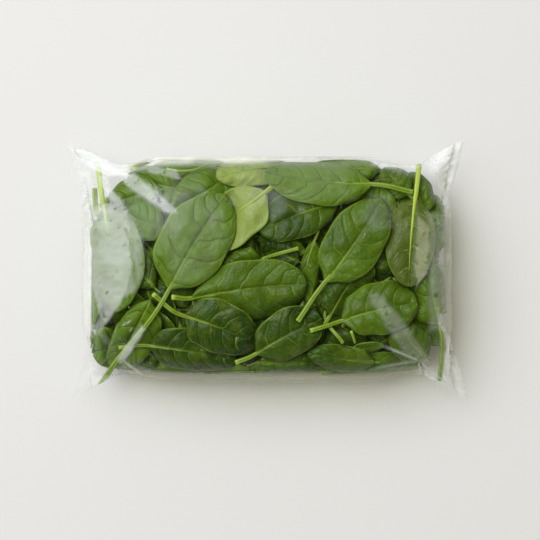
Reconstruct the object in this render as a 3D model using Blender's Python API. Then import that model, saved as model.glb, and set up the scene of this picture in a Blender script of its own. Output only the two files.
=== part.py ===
"""A clear pillow bag filled with baby spinach, lying on its back.

One closed solid: the plump filled body, the flat heat seals across both
ends, tucked under the bulge at mid-width, and the four empty film ears
that stand out at the corners. +X runs along the bag, +Z is up, and the
origin is on the table under its middle.
"""
import math

import bmesh
import bpy

MM = 0.001

# Driving dimensions, in millimetres.
BODY_LENGTH = 225.6         # the filled part, along X
BODY_WIDTH = 140.0          # the filled part, along Y
BAG_HEIGHT = 58.0
SEAM_HEIGHT = 21.0          # where the upper and the lower film meet
SEAL_WIDTH = 6.0            # the flat heat seal across each end
SEAL_THICKNESS = 0.8

# The four ear tips: side along X, side along Y, X, Y and height of the tip.
EAR_TIPS = (
    (-1, 1, 125.0, 80.0, 27.0),
    (1, 1, 122.0, 80.5, 29.0),
    (1, -1, 125.0, 80.5, 17.0),
    (-1, -1, 122.0, 80.0, 12.0),
)
SEAL_START = 1.0 - SEAL_WIDTH / 125.0   # share of the half length where the seal begins

# How boxy the filled body is, along the bag and across it: a higher power
# gives a flatter top and steeper sides.
UPPER_POWERS = (6.0, 3.6)
LOWER_POWERS = (4.5, 3.0)
DOME_POWER = 0.52
FLAT_SHARE = 0.80           # how full the lower film is where it meets the table
LOWER_ROUND = 0.75          # higher is a rounder turn under the body

# The seam is drawn in behind the bulge at mid-width, and the side fold dips
# in beside each ear before it flares out to the tip.
SEAM_INSET = 3.0            # how far the end seal stays inside the body's end
SEAM_ROUND = 0.14           # how softly the seam turns at mid-width
WIDEST_SHARE = 0.93         # share of the body where its end bulges most
SIDE_OVERHANG = 4.0
LOWER_OVERHANG = 0.45       # the lower film's share of the upper film's bulge
SIDE_PINCH = 4.5
PINCH_PLACE = 0.74          # share of the half length
PINCH_WIDTH = 0.14
FLARE_START = 0.70          # share of the half length
FLARE_POWER = 1.25

# Pleats that run from an ear into the body: side along X, side along Y,
# heading in degrees, depth and width.
PLEATS = (
    (-1, 1, -37.0, 2.6, 5.0),
    (-1, 1, -62.0, 1.8, 4.5),
    (1, 1, -141.0, 2.2, 5.0),
    (1, 1, -118.0, 1.8, 4.5),
    (1, -1, 142.0, 2.8, 5.0),
    (1, -1, 160.0, 2.0, 4.5),
    (-1, -1, 47.0, 2.6, 5.0),
    (-1, -1, 24.0, 1.6, 4.5),
)
PLEAT_REACH = 62.0          # a pleat fades out this far from the tip

# Bulges and hollows of the upper film over big leaves and gaps: X, Y,
# radius and height.
BULGES = (
    (-44.0, 18.0, 30.0, 1.6),
    (22.0, 44.0, 26.0, 1.3),
    (54.0, 8.0, 27.0, 1.5),
    (-18.0, -32.0, 28.0, 1.2),
    (70.0, -34.0, 24.0, 1.3),
    (-88.0, -4.0, 22.0, 1.4),
    (6.0, 2.0, 20.0, -1.1),
    (-70.0, -38.0, 20.0, -0.9),
    (90.0, 26.0, 20.0, -0.8),
)

CELLS_ALONG = 46
CELLS_ACROSS = 32
EDGE_CROWDING = 0.82        # how far the grid lines crowd towards the edges

FILLED_GREEN = (0.13, 0.22, 0.06, 1.0)
FILM_ROUGHNESS = 0.25


def smooth(value, low, high):
    """A step from 0 at low to 1 at high with level ends."""
    t = min(1.0, max(0.0, (value - low) / (high - low)))
    return t * t * (3.0 - 2.0 * t)


def crowded(index, cells):
    """A grid line's place from -1 to 1, closer together at both edges."""
    even = 2.0 * index / cells - 1.0
    return (1.0 - EDGE_CROWDING) * even + EDGE_CROWDING * math.sin(0.5 * math.pi * even)


def overhang(t):
    """How the film swells out past its edge: 0 at the edge and the middle, 1 at its peak."""
    peak = 6.0 / 7.0
    highest = peak ** 3 * (1.0 - peak) ** 0.5
    return t ** 3 * max(0.0, 1.0 - t) ** 0.5 / highest


def ear_blend(u, v):
    """Length, width and height of the ear tips, blended between the four corners."""
    tip_x = tip_y = tip_z = 0.0
    for side_x, side_y, x, y, z in EAR_TIPS:
        share = 0.25 * (1.0 + side_x * u) * (1.0 + side_y * v)
        tip_x += share * x
        tip_y += share * y
        tip_z += share * z
    return tip_x, tip_y, tip_z


def fullness(u, v, powers):
    """1 in the middle of the filled body, 0 on the seam and in the seal."""
    along = max(0.0, 1.0 - (abs(u) / SEAL_START) ** powers[0])
    across = max(0.0, 1.0 - abs(v) ** powers[1])
    return along * across


def plan_place(u, v, bulge_share):
    """X and Y of the film for a place on the flat bag, each from -1 to 1."""
    tip_x, tip_y, _ = ear_blend(u, v)
    seam_mid = 0.5 * BODY_LENGTH - SEAM_INSET
    spread = math.hypot(v, SEAM_ROUND) - SEAM_ROUND
    spread /= math.hypot(1.0, SEAM_ROUND) - SEAM_ROUND
    end_x = seam_mid + (tip_x - seam_mid) * spread
    flare = (smooth(abs(u), FLARE_START, 1.05) / smooth(1.0, FLARE_START, 1.05)) ** FLARE_POWER
    pinch = SIDE_PINCH * math.exp(-((abs(u) - PINCH_PLACE) / PINCH_WIDTH) ** 2) * (1.0 - flare)
    side_y = 0.5 * BODY_WIDTH + (tip_y - 0.5 * BODY_WIDTH) * flare - pinch
    widest = WIDEST_SHARE * SEAL_START * end_x
    end_bulge = max(0.0, 0.5 * BODY_LENGTH - widest) / overhang(WIDEST_SHARE)
    end_bulge *= 1.0 - smooth(abs(v), 0.45, 0.8)
    side_bulge = SIDE_OVERHANG * (1.0 - smooth(abs(u), 0.55, 0.95))
    x = u * end_x + math.copysign(bulge_share * end_bulge * overhang(abs(u) / SEAL_START), u)
    y = v * side_y + math.copysign(bulge_share * side_bulge * overhang(abs(v)), v)
    return x, y


def seam_height(u, v):
    """Height of the line where the two films meet."""
    tip_z = ear_blend(u, v)[2]
    at_ear = smooth(abs(u), 0.6, 1.0) * smooth(abs(v), 0.5, 1.0)
    return SEAM_HEIGHT + (tip_z - SEAM_HEIGHT) * at_ear


def pleat_depth(x, y):
    """How far the pleats at the ears draw the film in."""
    depth = 0.0
    for side_x, side_y, degrees, deep, wide in PLEATS:
        tip = next(t for t in EAR_TIPS if t[0] == side_x and t[1] == side_y)
        away_x = x - side_x * tip[2]
        away_y = y - side_y * tip[3]
        angle = math.radians(degrees)
        along = away_x * math.cos(angle) + away_y * math.sin(angle)
        aside = -away_x * math.sin(angle) + away_y * math.cos(angle)
        fade = smooth(along, 6.0, 24.0) * (1.0 - smooth(along, 34.0, PLEAT_REACH))
        depth += deep * fade * math.exp(-(aside / wide) ** 2)
    return depth


def bulge_height(x, y):
    """How far the leaves push the upper film out."""
    return sum(
        high * math.exp(-((x - at_x) ** 2 + (y - at_y) ** 2) / radius ** 2)
        for at_x, at_y, radius, high in BULGES
    )


def upper_film(u, v):
    """A point on the upper film, in millimetres."""
    x, y = plan_place(u, v, 1.0)
    full = fullness(u, v, UPPER_POWERS)
    rise = (BAG_HEIGHT - SEAM_HEIGHT) * full ** DOME_POWER
    relief = bulge_height(x, y) * smooth(full, 0.1, 0.6) - pleat_depth(x, y) * smooth(full, 0.0, 0.12)
    return x, y, seam_height(u, v) + 0.5 * SEAL_THICKNESS + rise + relief


def lower_film(u, v):
    """A point on the lower film: it turns under and lies flat on the table."""
    x, y = plan_place(u, v, LOWER_OVERHANG)
    lying = min(1.0, fullness(u, v, LOWER_POWERS) ** LOWER_ROUND / FLAT_SHARE)
    turned_under = 1.0 - math.sqrt(1.0 - (1.0 - lying) ** 2)
    return x, y, (seam_height(u, v) - 0.5 * SEAL_THICKNESS) * turned_under


def filled_film():
    """Clear film over green leaves, as the whole pack reads from a distance."""
    material = bpy.data.materials.new("filled_film")
    material.use_nodes = True
    shader = material.node_tree.nodes["Principled BSDF"]
    shader.inputs["Base Color"].default_value = FILLED_GREEN
    shader.inputs["Roughness"].default_value = FILM_ROUGHNESS
    shader.inputs["Metallic"].default_value = 0.0
    return material


def add_sheet(shape, surface):
    """Adds one film as a grid of quads and returns its points, row by row."""
    body_lines = [SEAL_START * crowded(i, CELLS_ALONG) for i in range(CELLS_ALONG + 1)]
    lines_along = [-1.0] + body_lines + [1.0]
    lines_across = [crowded(j, CELLS_ACROSS) for j in range(CELLS_ACROSS + 1)]
    grid = []
    for u in lines_along:
        places = [surface(u, v) for v in lines_across]
        grid.append([shape.verts.new((x * MM, y * MM, z * MM)) for x, y, z in places])
    for left, right in zip(grid, grid[1:]):
        for j in range(CELLS_ACROSS):
            shape.faces.new((left[j], right[j], right[j + 1], left[j + 1]))
    return grid


def rim_of(grid):
    """The points round the edge of a sheet, in order."""
    near_side = [column[0] for column in grid]
    far_side = [column[-1] for column in grid]
    return near_side + grid[-1][1:-1] + far_side[::-1] + grid[0][-2:0:-1]


def make_bag():
    """The filled bag as one closed solid: two films joined by the edge of the seal."""
    shape = bmesh.new()
    upper = rim_of(add_sheet(shape, upper_film))
    lower = rim_of(add_sheet(shape, lower_film))
    for i in range(len(upper)):
        shape.faces.new((upper[i - 1], upper[i], lower[i], lower[i - 1]))
    bmesh.ops.recalc_face_normals(shape, faces=shape.faces)
    mesh = bpy.data.meshes.new("spinach_bag")
    shape.to_mesh(mesh)
    shape.free()
    mesh.materials.append(filled_film())
    mesh.shade_smooth()
    bag = bpy.data.objects.new("spinach_bag", mesh)
    bpy.context.scene.collection.objects.link(bag)
    return bag


def main():
    for old in list(bpy.data.objects):
        bpy.data.objects.remove(old)
    make_bag()


main()
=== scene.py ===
# The looks of a clear bag of baby spinach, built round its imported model.
import math

import bpy
import numpy as np
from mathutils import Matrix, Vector
from mathutils.bvhtree import BVHTree


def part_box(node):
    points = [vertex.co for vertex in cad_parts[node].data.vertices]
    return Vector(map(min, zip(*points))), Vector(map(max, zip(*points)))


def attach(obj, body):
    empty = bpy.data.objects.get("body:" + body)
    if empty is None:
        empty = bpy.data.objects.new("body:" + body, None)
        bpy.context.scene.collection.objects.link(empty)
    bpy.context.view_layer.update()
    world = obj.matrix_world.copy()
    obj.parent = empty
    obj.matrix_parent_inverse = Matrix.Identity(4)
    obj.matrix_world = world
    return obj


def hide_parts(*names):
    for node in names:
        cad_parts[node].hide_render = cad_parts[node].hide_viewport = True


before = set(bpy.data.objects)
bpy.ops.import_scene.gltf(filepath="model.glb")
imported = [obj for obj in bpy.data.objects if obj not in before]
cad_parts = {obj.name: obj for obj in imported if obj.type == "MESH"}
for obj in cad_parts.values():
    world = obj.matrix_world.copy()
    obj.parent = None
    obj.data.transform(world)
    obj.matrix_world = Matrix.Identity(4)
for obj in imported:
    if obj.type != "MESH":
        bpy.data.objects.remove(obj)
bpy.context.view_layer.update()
bagLow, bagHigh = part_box("spinach_bag")
mm = (bagHigh.x - bagLow.x) / 250.0     # everything below is laid out in millimetres on a bag 250 mm long
print("frame loaded, one layout millimetre is", round(mm * 1000, 4), "mm")


# small helpers for shapes

def smooth(value, low, high):
    # a step from 0 at low to 1 at high with level ends
    t = np.clip((value - low) / (high - low), 0.0, 1.0)
    return t * t * (3.0 - 2.0 * t)


def softNoise(x, y, size, seed):
    # smooth random relief from -1 to 1, about one lump for each size
    table = np.random.default_rng(seed).uniform(-1.0, 1.0, (64, 64))
    gx, gy = x / size + 500.0, y / size + 500.0
    ix, iy = np.floor(gx).astype(int), np.floor(gy).astype(int)
    fx, fy = gx - ix, gy - iy
    fx, fy = fx * fx * (3 - 2 * fx), fy * fy * (3 - 2 * fy)
    a, b = table[ix % 64, iy % 64], table[(ix + 1) % 64, iy % 64]
    c, d = table[ix % 64, (iy + 1) % 64], table[(ix + 1) % 64, (iy + 1) % 64]
    return (a * (1 - fx) + b * fx) * (1 - fy) + (c * (1 - fx) + d * fx) * fy


def softMin(a, b, reach):
    return np.minimum(a, b) - reach * np.log1p(np.exp(-np.abs(a - b) / reach))


def softMax(a, b, reach):
    return -softMin(-a, -b, reach)


def newObject(name, mesh, material=None):
    made = bpy.data.objects.new(name, mesh)
    bpy.context.scene.collection.objects.link(made)
    if material is not None:
        mesh.materials.append(material)
    return made


def joinedMesh(name, parts, smooth=True):
    # parts hold points in millimetres, faces and one number for each point under each attribute's name
    points = np.concatenate([p["points"] for p in parts]) * mm
    faces, start = [], 0
    for part in parts:
        faces += [[i + start for i in face] for face in part["faces"]]
        start += len(part["points"])
    mesh = bpy.data.meshes.new(name)
    mesh.from_pydata(points.tolist(), [], faces)
    for key in parts[0]["marks"]:
        values = np.concatenate([p["marks"][key] for p in parts]).astype(np.float32)
        mesh.attributes.new(key, "FLOAT", "POINT").data.foreach_set("value", values)
    if smooth:
        mesh.shade_smooth()
    mesh.update()
    return mesh


def gridFaces(rows, columns, start=0, flip=False):
    # quads of a grid of points, row by row
    faces = []
    for i in range(rows - 1):
        for j in range(columns - 1):
            a = start + i * columns + j
            quad = [a, a + columns, a + columns + 1, a + 1]
            faces.append(quad[::-1] if flip else quad)
    return faces


def rimOf(rows, columns):
    # the points round a grid's edge, in order
    near = [i * columns for i in range(rows)]
    end = [(rows - 1) * columns + j for j in range(1, columns - 1)]
    far = [i * columns + columns - 1 for i in range(rows)][::-1]
    start = [j for j in range(columns - 2, 0, -1)]
    return near + end + far + start


def closedPillow(top, bottom):
    # two sheets of points, rows x columns x 3, joined round their edge
    rows, columns = top.shape[:2]
    count = rows * columns
    faces = gridFaces(rows, columns) + gridFaces(rows, columns, count, True)
    rim = rimOf(rows, columns)
    for a, b in zip(rim, rim[1:] + rim[:1]):
        faces.append([b, a, a + count, b + count])
    return np.concatenate([top.reshape(-1, 3), bottom.reshape(-1, 3)]), faces


# the film's form: a pillow with sealed ends and four empty ears

film = dict(
    bodyLength=225.6, bodyWidth=140.0, frontShare=0.977, backShare=0.988, height=58.0, seamHeight=21.0,
    sealWidth=6.0, sealThickness=0.8,
    upperPowers=(6.0, 3.6), lowerPowers=(4.5, 3.0), domePower=0.52, flatShare=0.80, lowerRound=0.75,
    seamInset=3.0, widest=0.93, sideOverhang=4.0, lowerOverhang=0.45,
    sidePinch=4.5, pinchPlace=0.74, pinchWidth=0.14, flareStart=0.70, flarePower=1.25,
    linesAlong=236, linesAcross=156, crowding=0.62,
)
# the ears' tips: side along X, side along Y, X, Y and height
earTips = (
    (-1, 1, 125.0, 80.0, 27.0), (1, 1, 122.0, 80.5, 29.0), (1, -1, 125.0, 80.5, 17.0),
    (-1, -1, 122.0, 80.0, 12.0))
# where along the seal each ear starts and how fast it spreads
earFlares = ((-1, 1, 0.24, 1.2), (1, 1, 0.42, 0.9), (1, -1, 0.42, 0.75), (-1, -1, 0.50, 1.1))
# pleats from the ears into the body: side X, side Y, heading, depth and width
pleats = (
    (-1, 1, -37.0, 2.6, 5.0), (-1, 1, -62.0, 1.8, 4.5), (1, 1, -141.0, 2.2, 5.0), (1, 1, -118.0, 1.8, 4.5),
    (1, -1, 142.0, 2.8, 5.0), (1, -1, 160.0, 2.0, 4.5), (-1, -1, 47.0, 2.6, 5.0), (-1, -1, 24.0, 1.6, 4.5),
)
# bulges over big leaves: X, Y, radius and height
bulges = (
    (-44, 18, 30, 1.6), (22, 44, 26, 1.3), (54, 8, 27, 1.5), (-18, -32, 28, 1.2), (70, -34, 24, 1.3),
    (-88, -4, 22, 1.4), (6, 2, 20, -1.1), (-70, -38, 20, -0.9), (90, 26, 20, -0.8),
)
sealStart = 1.0 - film["sealWidth"] / 125.0


def normalsOf(sheet):
    # unit vectors square to a sheet of points
    normal = np.cross(np.gradient(sheet, axis=0), np.gradient(sheet, axis=1))
    return normal / np.maximum(1e-9, np.linalg.norm(normal, axis=-1, keepdims=True))


def crowded(count, crowding):
    even = np.linspace(-1.0, 1.0, count + 1)
    return (1.0 - crowding) * even + crowding * np.sin(0.5 * math.pi * even)


def swell(t):
    # how the film swells out past its edge: 0 at the edge and the middle, 1 at its peak
    peak = 6.0 / 7.0
    return t ** 3 * np.sqrt(np.maximum(0.0, 1.0 - t)) / (peak ** 3 * (1.0 - peak) ** 0.5)


def earBlend(u, v, index):
    return sum(0.25 * (1 + tip[0] * u) * (1 + tip[1] * v) * tip[index] for tip in earTips)


def fullness(u, v, powers):
    along = np.maximum(0.0, 1.0 - (np.abs(u) / sealStart) ** powers[0])
    return along * np.maximum(0.0, 1.0 - np.abs(v) ** powers[1])


def planPlace(u, v, share):
    halfLength = 0.5 * film["bodyLength"]
    seamMid = halfLength - film["seamInset"]
    spread = 0.0
    for sideX, sideY, begins, fast in earFlares:
        here = 0.25 * (1 + np.sign(sideX * u)) * (1 + np.sign(sideY * v))
        spread = spread + here * np.clip((np.abs(v) - begins) / (1 - begins), 0, 1) ** fast
    endX = seamMid + (earBlend(u, v, 2) - seamMid) * spread
    start = film["flareStart"]
    flare = (smooth(np.abs(u), start, 1.05) / smooth(1.0, start, 1.05)) ** film["flarePower"]
    pinch = film["sidePinch"] * np.exp(
        -((np.abs(u) - film["pinchPlace"]) / film["pinchWidth"]) ** 2) * (1 - flare)
    halfWide = 0.5 * film["bodyWidth"] * np.where(v < 0, film["frontShare"], film["backShare"])
    sideY = halfWide + (earBlend(u, v, 3) - halfWide) * flare - pinch
    endBulge = np.maximum(0.0, halfLength - film["widest"] * sealStart * endX) / swell(film["widest"])
    endBulge = endBulge * (1.0 - smooth(np.abs(v), 0.45, 0.8))
    sideBulge = film["sideOverhang"] * (1.0 - smooth(np.abs(u), 0.55, 0.95))
    x = u * endX + np.sign(u) * share * endBulge * swell(np.abs(u) / sealStart)
    y = v * sideY + np.sign(v) * share * sideBulge * swell(np.abs(v))
    return x, y


def seamPlace(u, v):
    atEar = smooth(np.abs(u), 0.6, 1.0) * smooth(np.abs(v), 0.5, 1.0)
    return film["seamHeight"] + (earBlend(u, v, 4) - film["seamHeight"]) * atEar


def pleatDepth(x, y):
    depth = 0.0
    for sideX, sideY, degrees, deep, wide in pleats:
        tip = next(t for t in earTips if t[0] == sideX and t[1] == sideY)
        awayX, awayY = x - sideX * tip[2], y - sideY * tip[3]
        angle = math.radians(degrees)
        along = awayX * math.cos(angle) + awayY * math.sin(angle)
        aside = -awayX * math.sin(angle) + awayY * math.cos(angle)
        fade = smooth(along, 6.0, 24.0) * (1.0 - smooth(along, 34.0, 62.0))
        depth = depth + deep * fade * np.exp(-(aside / wide) ** 2)
    return depth


def upperFilm(u, v):
    x, y = planPlace(u, v, 1.0)
    full = fullness(u, v, film["upperPowers"])
    rise = (film["height"] - film["seamHeight"]) * full ** film["domePower"]
    bulge = sum(
        high * np.exp(-((x - bx) ** 2 + (y - by) ** 2) / radius ** 2) for bx, by, radius, high in bulges)
    relief = bulge * smooth(full, 0.1, 0.6) - pleatDepth(x, y) * smooth(full, 0.0, 0.12)
    return x, y, seamPlace(u, v) + 0.5 * film["sealThickness"] + rise + relief


def lowerFilm(u, v):
    x, y = planPlace(u, v, film["lowerOverhang"])
    lying = np.minimum(1.0, fullness(u, v, film["lowerPowers"]) ** film["lowerRound"] / film["flatShare"])
    turned = 1.0 - np.sqrt(1.0 - (1.0 - lying) ** 2)
    return x, y, (seamPlace(u, v) - 0.5 * film["sealThickness"]) * turned


# the pile: a map of how high a leaf may lie under the film and under the leaves on it

pile = dict(step=0.5, fineLines=(1000, 700), bridged=4, soft=5.0,
            halfX=131.0, halfY=86.0, gap=0.9, thickness=0.45, bend=3.6,
            left=-111.0, right=111.5, bottom=-63.8, top=70.4)


def mapIndex(x, y):
    ix = np.clip(np.round((x + pile["halfX"]) / pile["step"]).astype(int), 0, mapRows - 1)
    iy = np.clip(np.round((y + pile["halfY"]) / pile["step"]).astype(int), 0, mapColumns - 1)
    return ix, iy


def readMap(grid, x, y):
    gx = np.clip((x + pile["halfX"]) / pile["step"], 0, mapRows - 1.001)
    gy = np.clip((y + pile["halfY"]) / pile["step"], 0, mapColumns - 1.001)
    ix, iy = np.floor(gx).astype(int), np.floor(gy).astype(int)
    fx, fy = gx - ix, gy - iy
    near = grid[ix, iy] * (1 - fx) + grid[ix + 1, iy] * fx
    far = grid[ix, iy + 1] * (1 - fx) + grid[ix + 1, iy + 1] * fx
    return near * (1 - fy) + far * fy


def blurMap(grid, cells):
    # gaussian blur by the Fourier transform
    padded = np.pad(grid, 24, mode="edge")
    fx = np.fft.fftfreq(padded.shape[0])[:, None]
    fy = np.fft.rfftfreq(padded.shape[1])[None, :]
    soft = np.exp(-2.0 * (math.pi * cells) ** 2 * (fx * fx + fy * fy))
    return np.fft.irfft2(np.fft.rfft2(padded) * soft, s=padded.shape)[24:-24, 24:-24]


def lowestNear(grid, cells):
    for axis in (0, 1):
        grid = np.minimum.reduce([np.roll(grid, k, axis) for k in range(-cells, cells + 1)])
    return grid


mapRows = int(2 * pile["halfX"] / pile["step"]) + 1
mapColumns = int(2 * pile["halfY"] / pile["step"]) + 1
fineU, fineV = np.meshgrid(*(np.linspace(-1, 1, count) for count in pile["fineLines"]), indexing="ij")
filmTop = np.zeros((mapRows, mapColumns))
fx, fy, fz = upperFilm(fineU, fineV)
np.maximum.at(filmTop, mapIndex(fx, fy), fz)
filmBottom = np.full((mapRows, mapColumns), 40.0)
fx, fy, fz = lowerFilm(fineU, fineV)
np.minimum.at(filmBottom, mapIndex(fx, fy), fz)
ceiling = filmTop - pile["gap"]
lowRoom = np.minimum(filmBottom, film["seamHeight"])
print("film's room mapped")


# leaves given one by one, the ones on top first

leafForm = dict(
    rowStep=1.0, columnStep=1.3, slant=0.95, bend=1.9, veins=5.2, fold=1.6, foldWidth=2.2, quilt=0.62,
    lump=0.95, tilt=1.5,
    stemRadius=1.6, stemSides=14, fineSheet=(150, 91), ribSteps=22, ribEnd=0.80, finePath=600,
)
# base, tip and stem end in plan, half widths left and right of the way from base to tip, tone and seed;
# fullest is where it is widest, bow bends the midrib, cup drops the margins, arch drops both ends,
# wave ripples the margin
def blade(base, tip, stem, wide, tone, seed, bow=1.0, cup=1.0, arch=0.5, wave=0.4, fullest=0.5, **more):
    return dict(
        base=base, tip=tip, stem=stem, wide=wide, tone=tone, seed=seed, bow=bow, cup=cup, arch=arch,
        wave=wave, fullest=fullest, **more)


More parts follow.
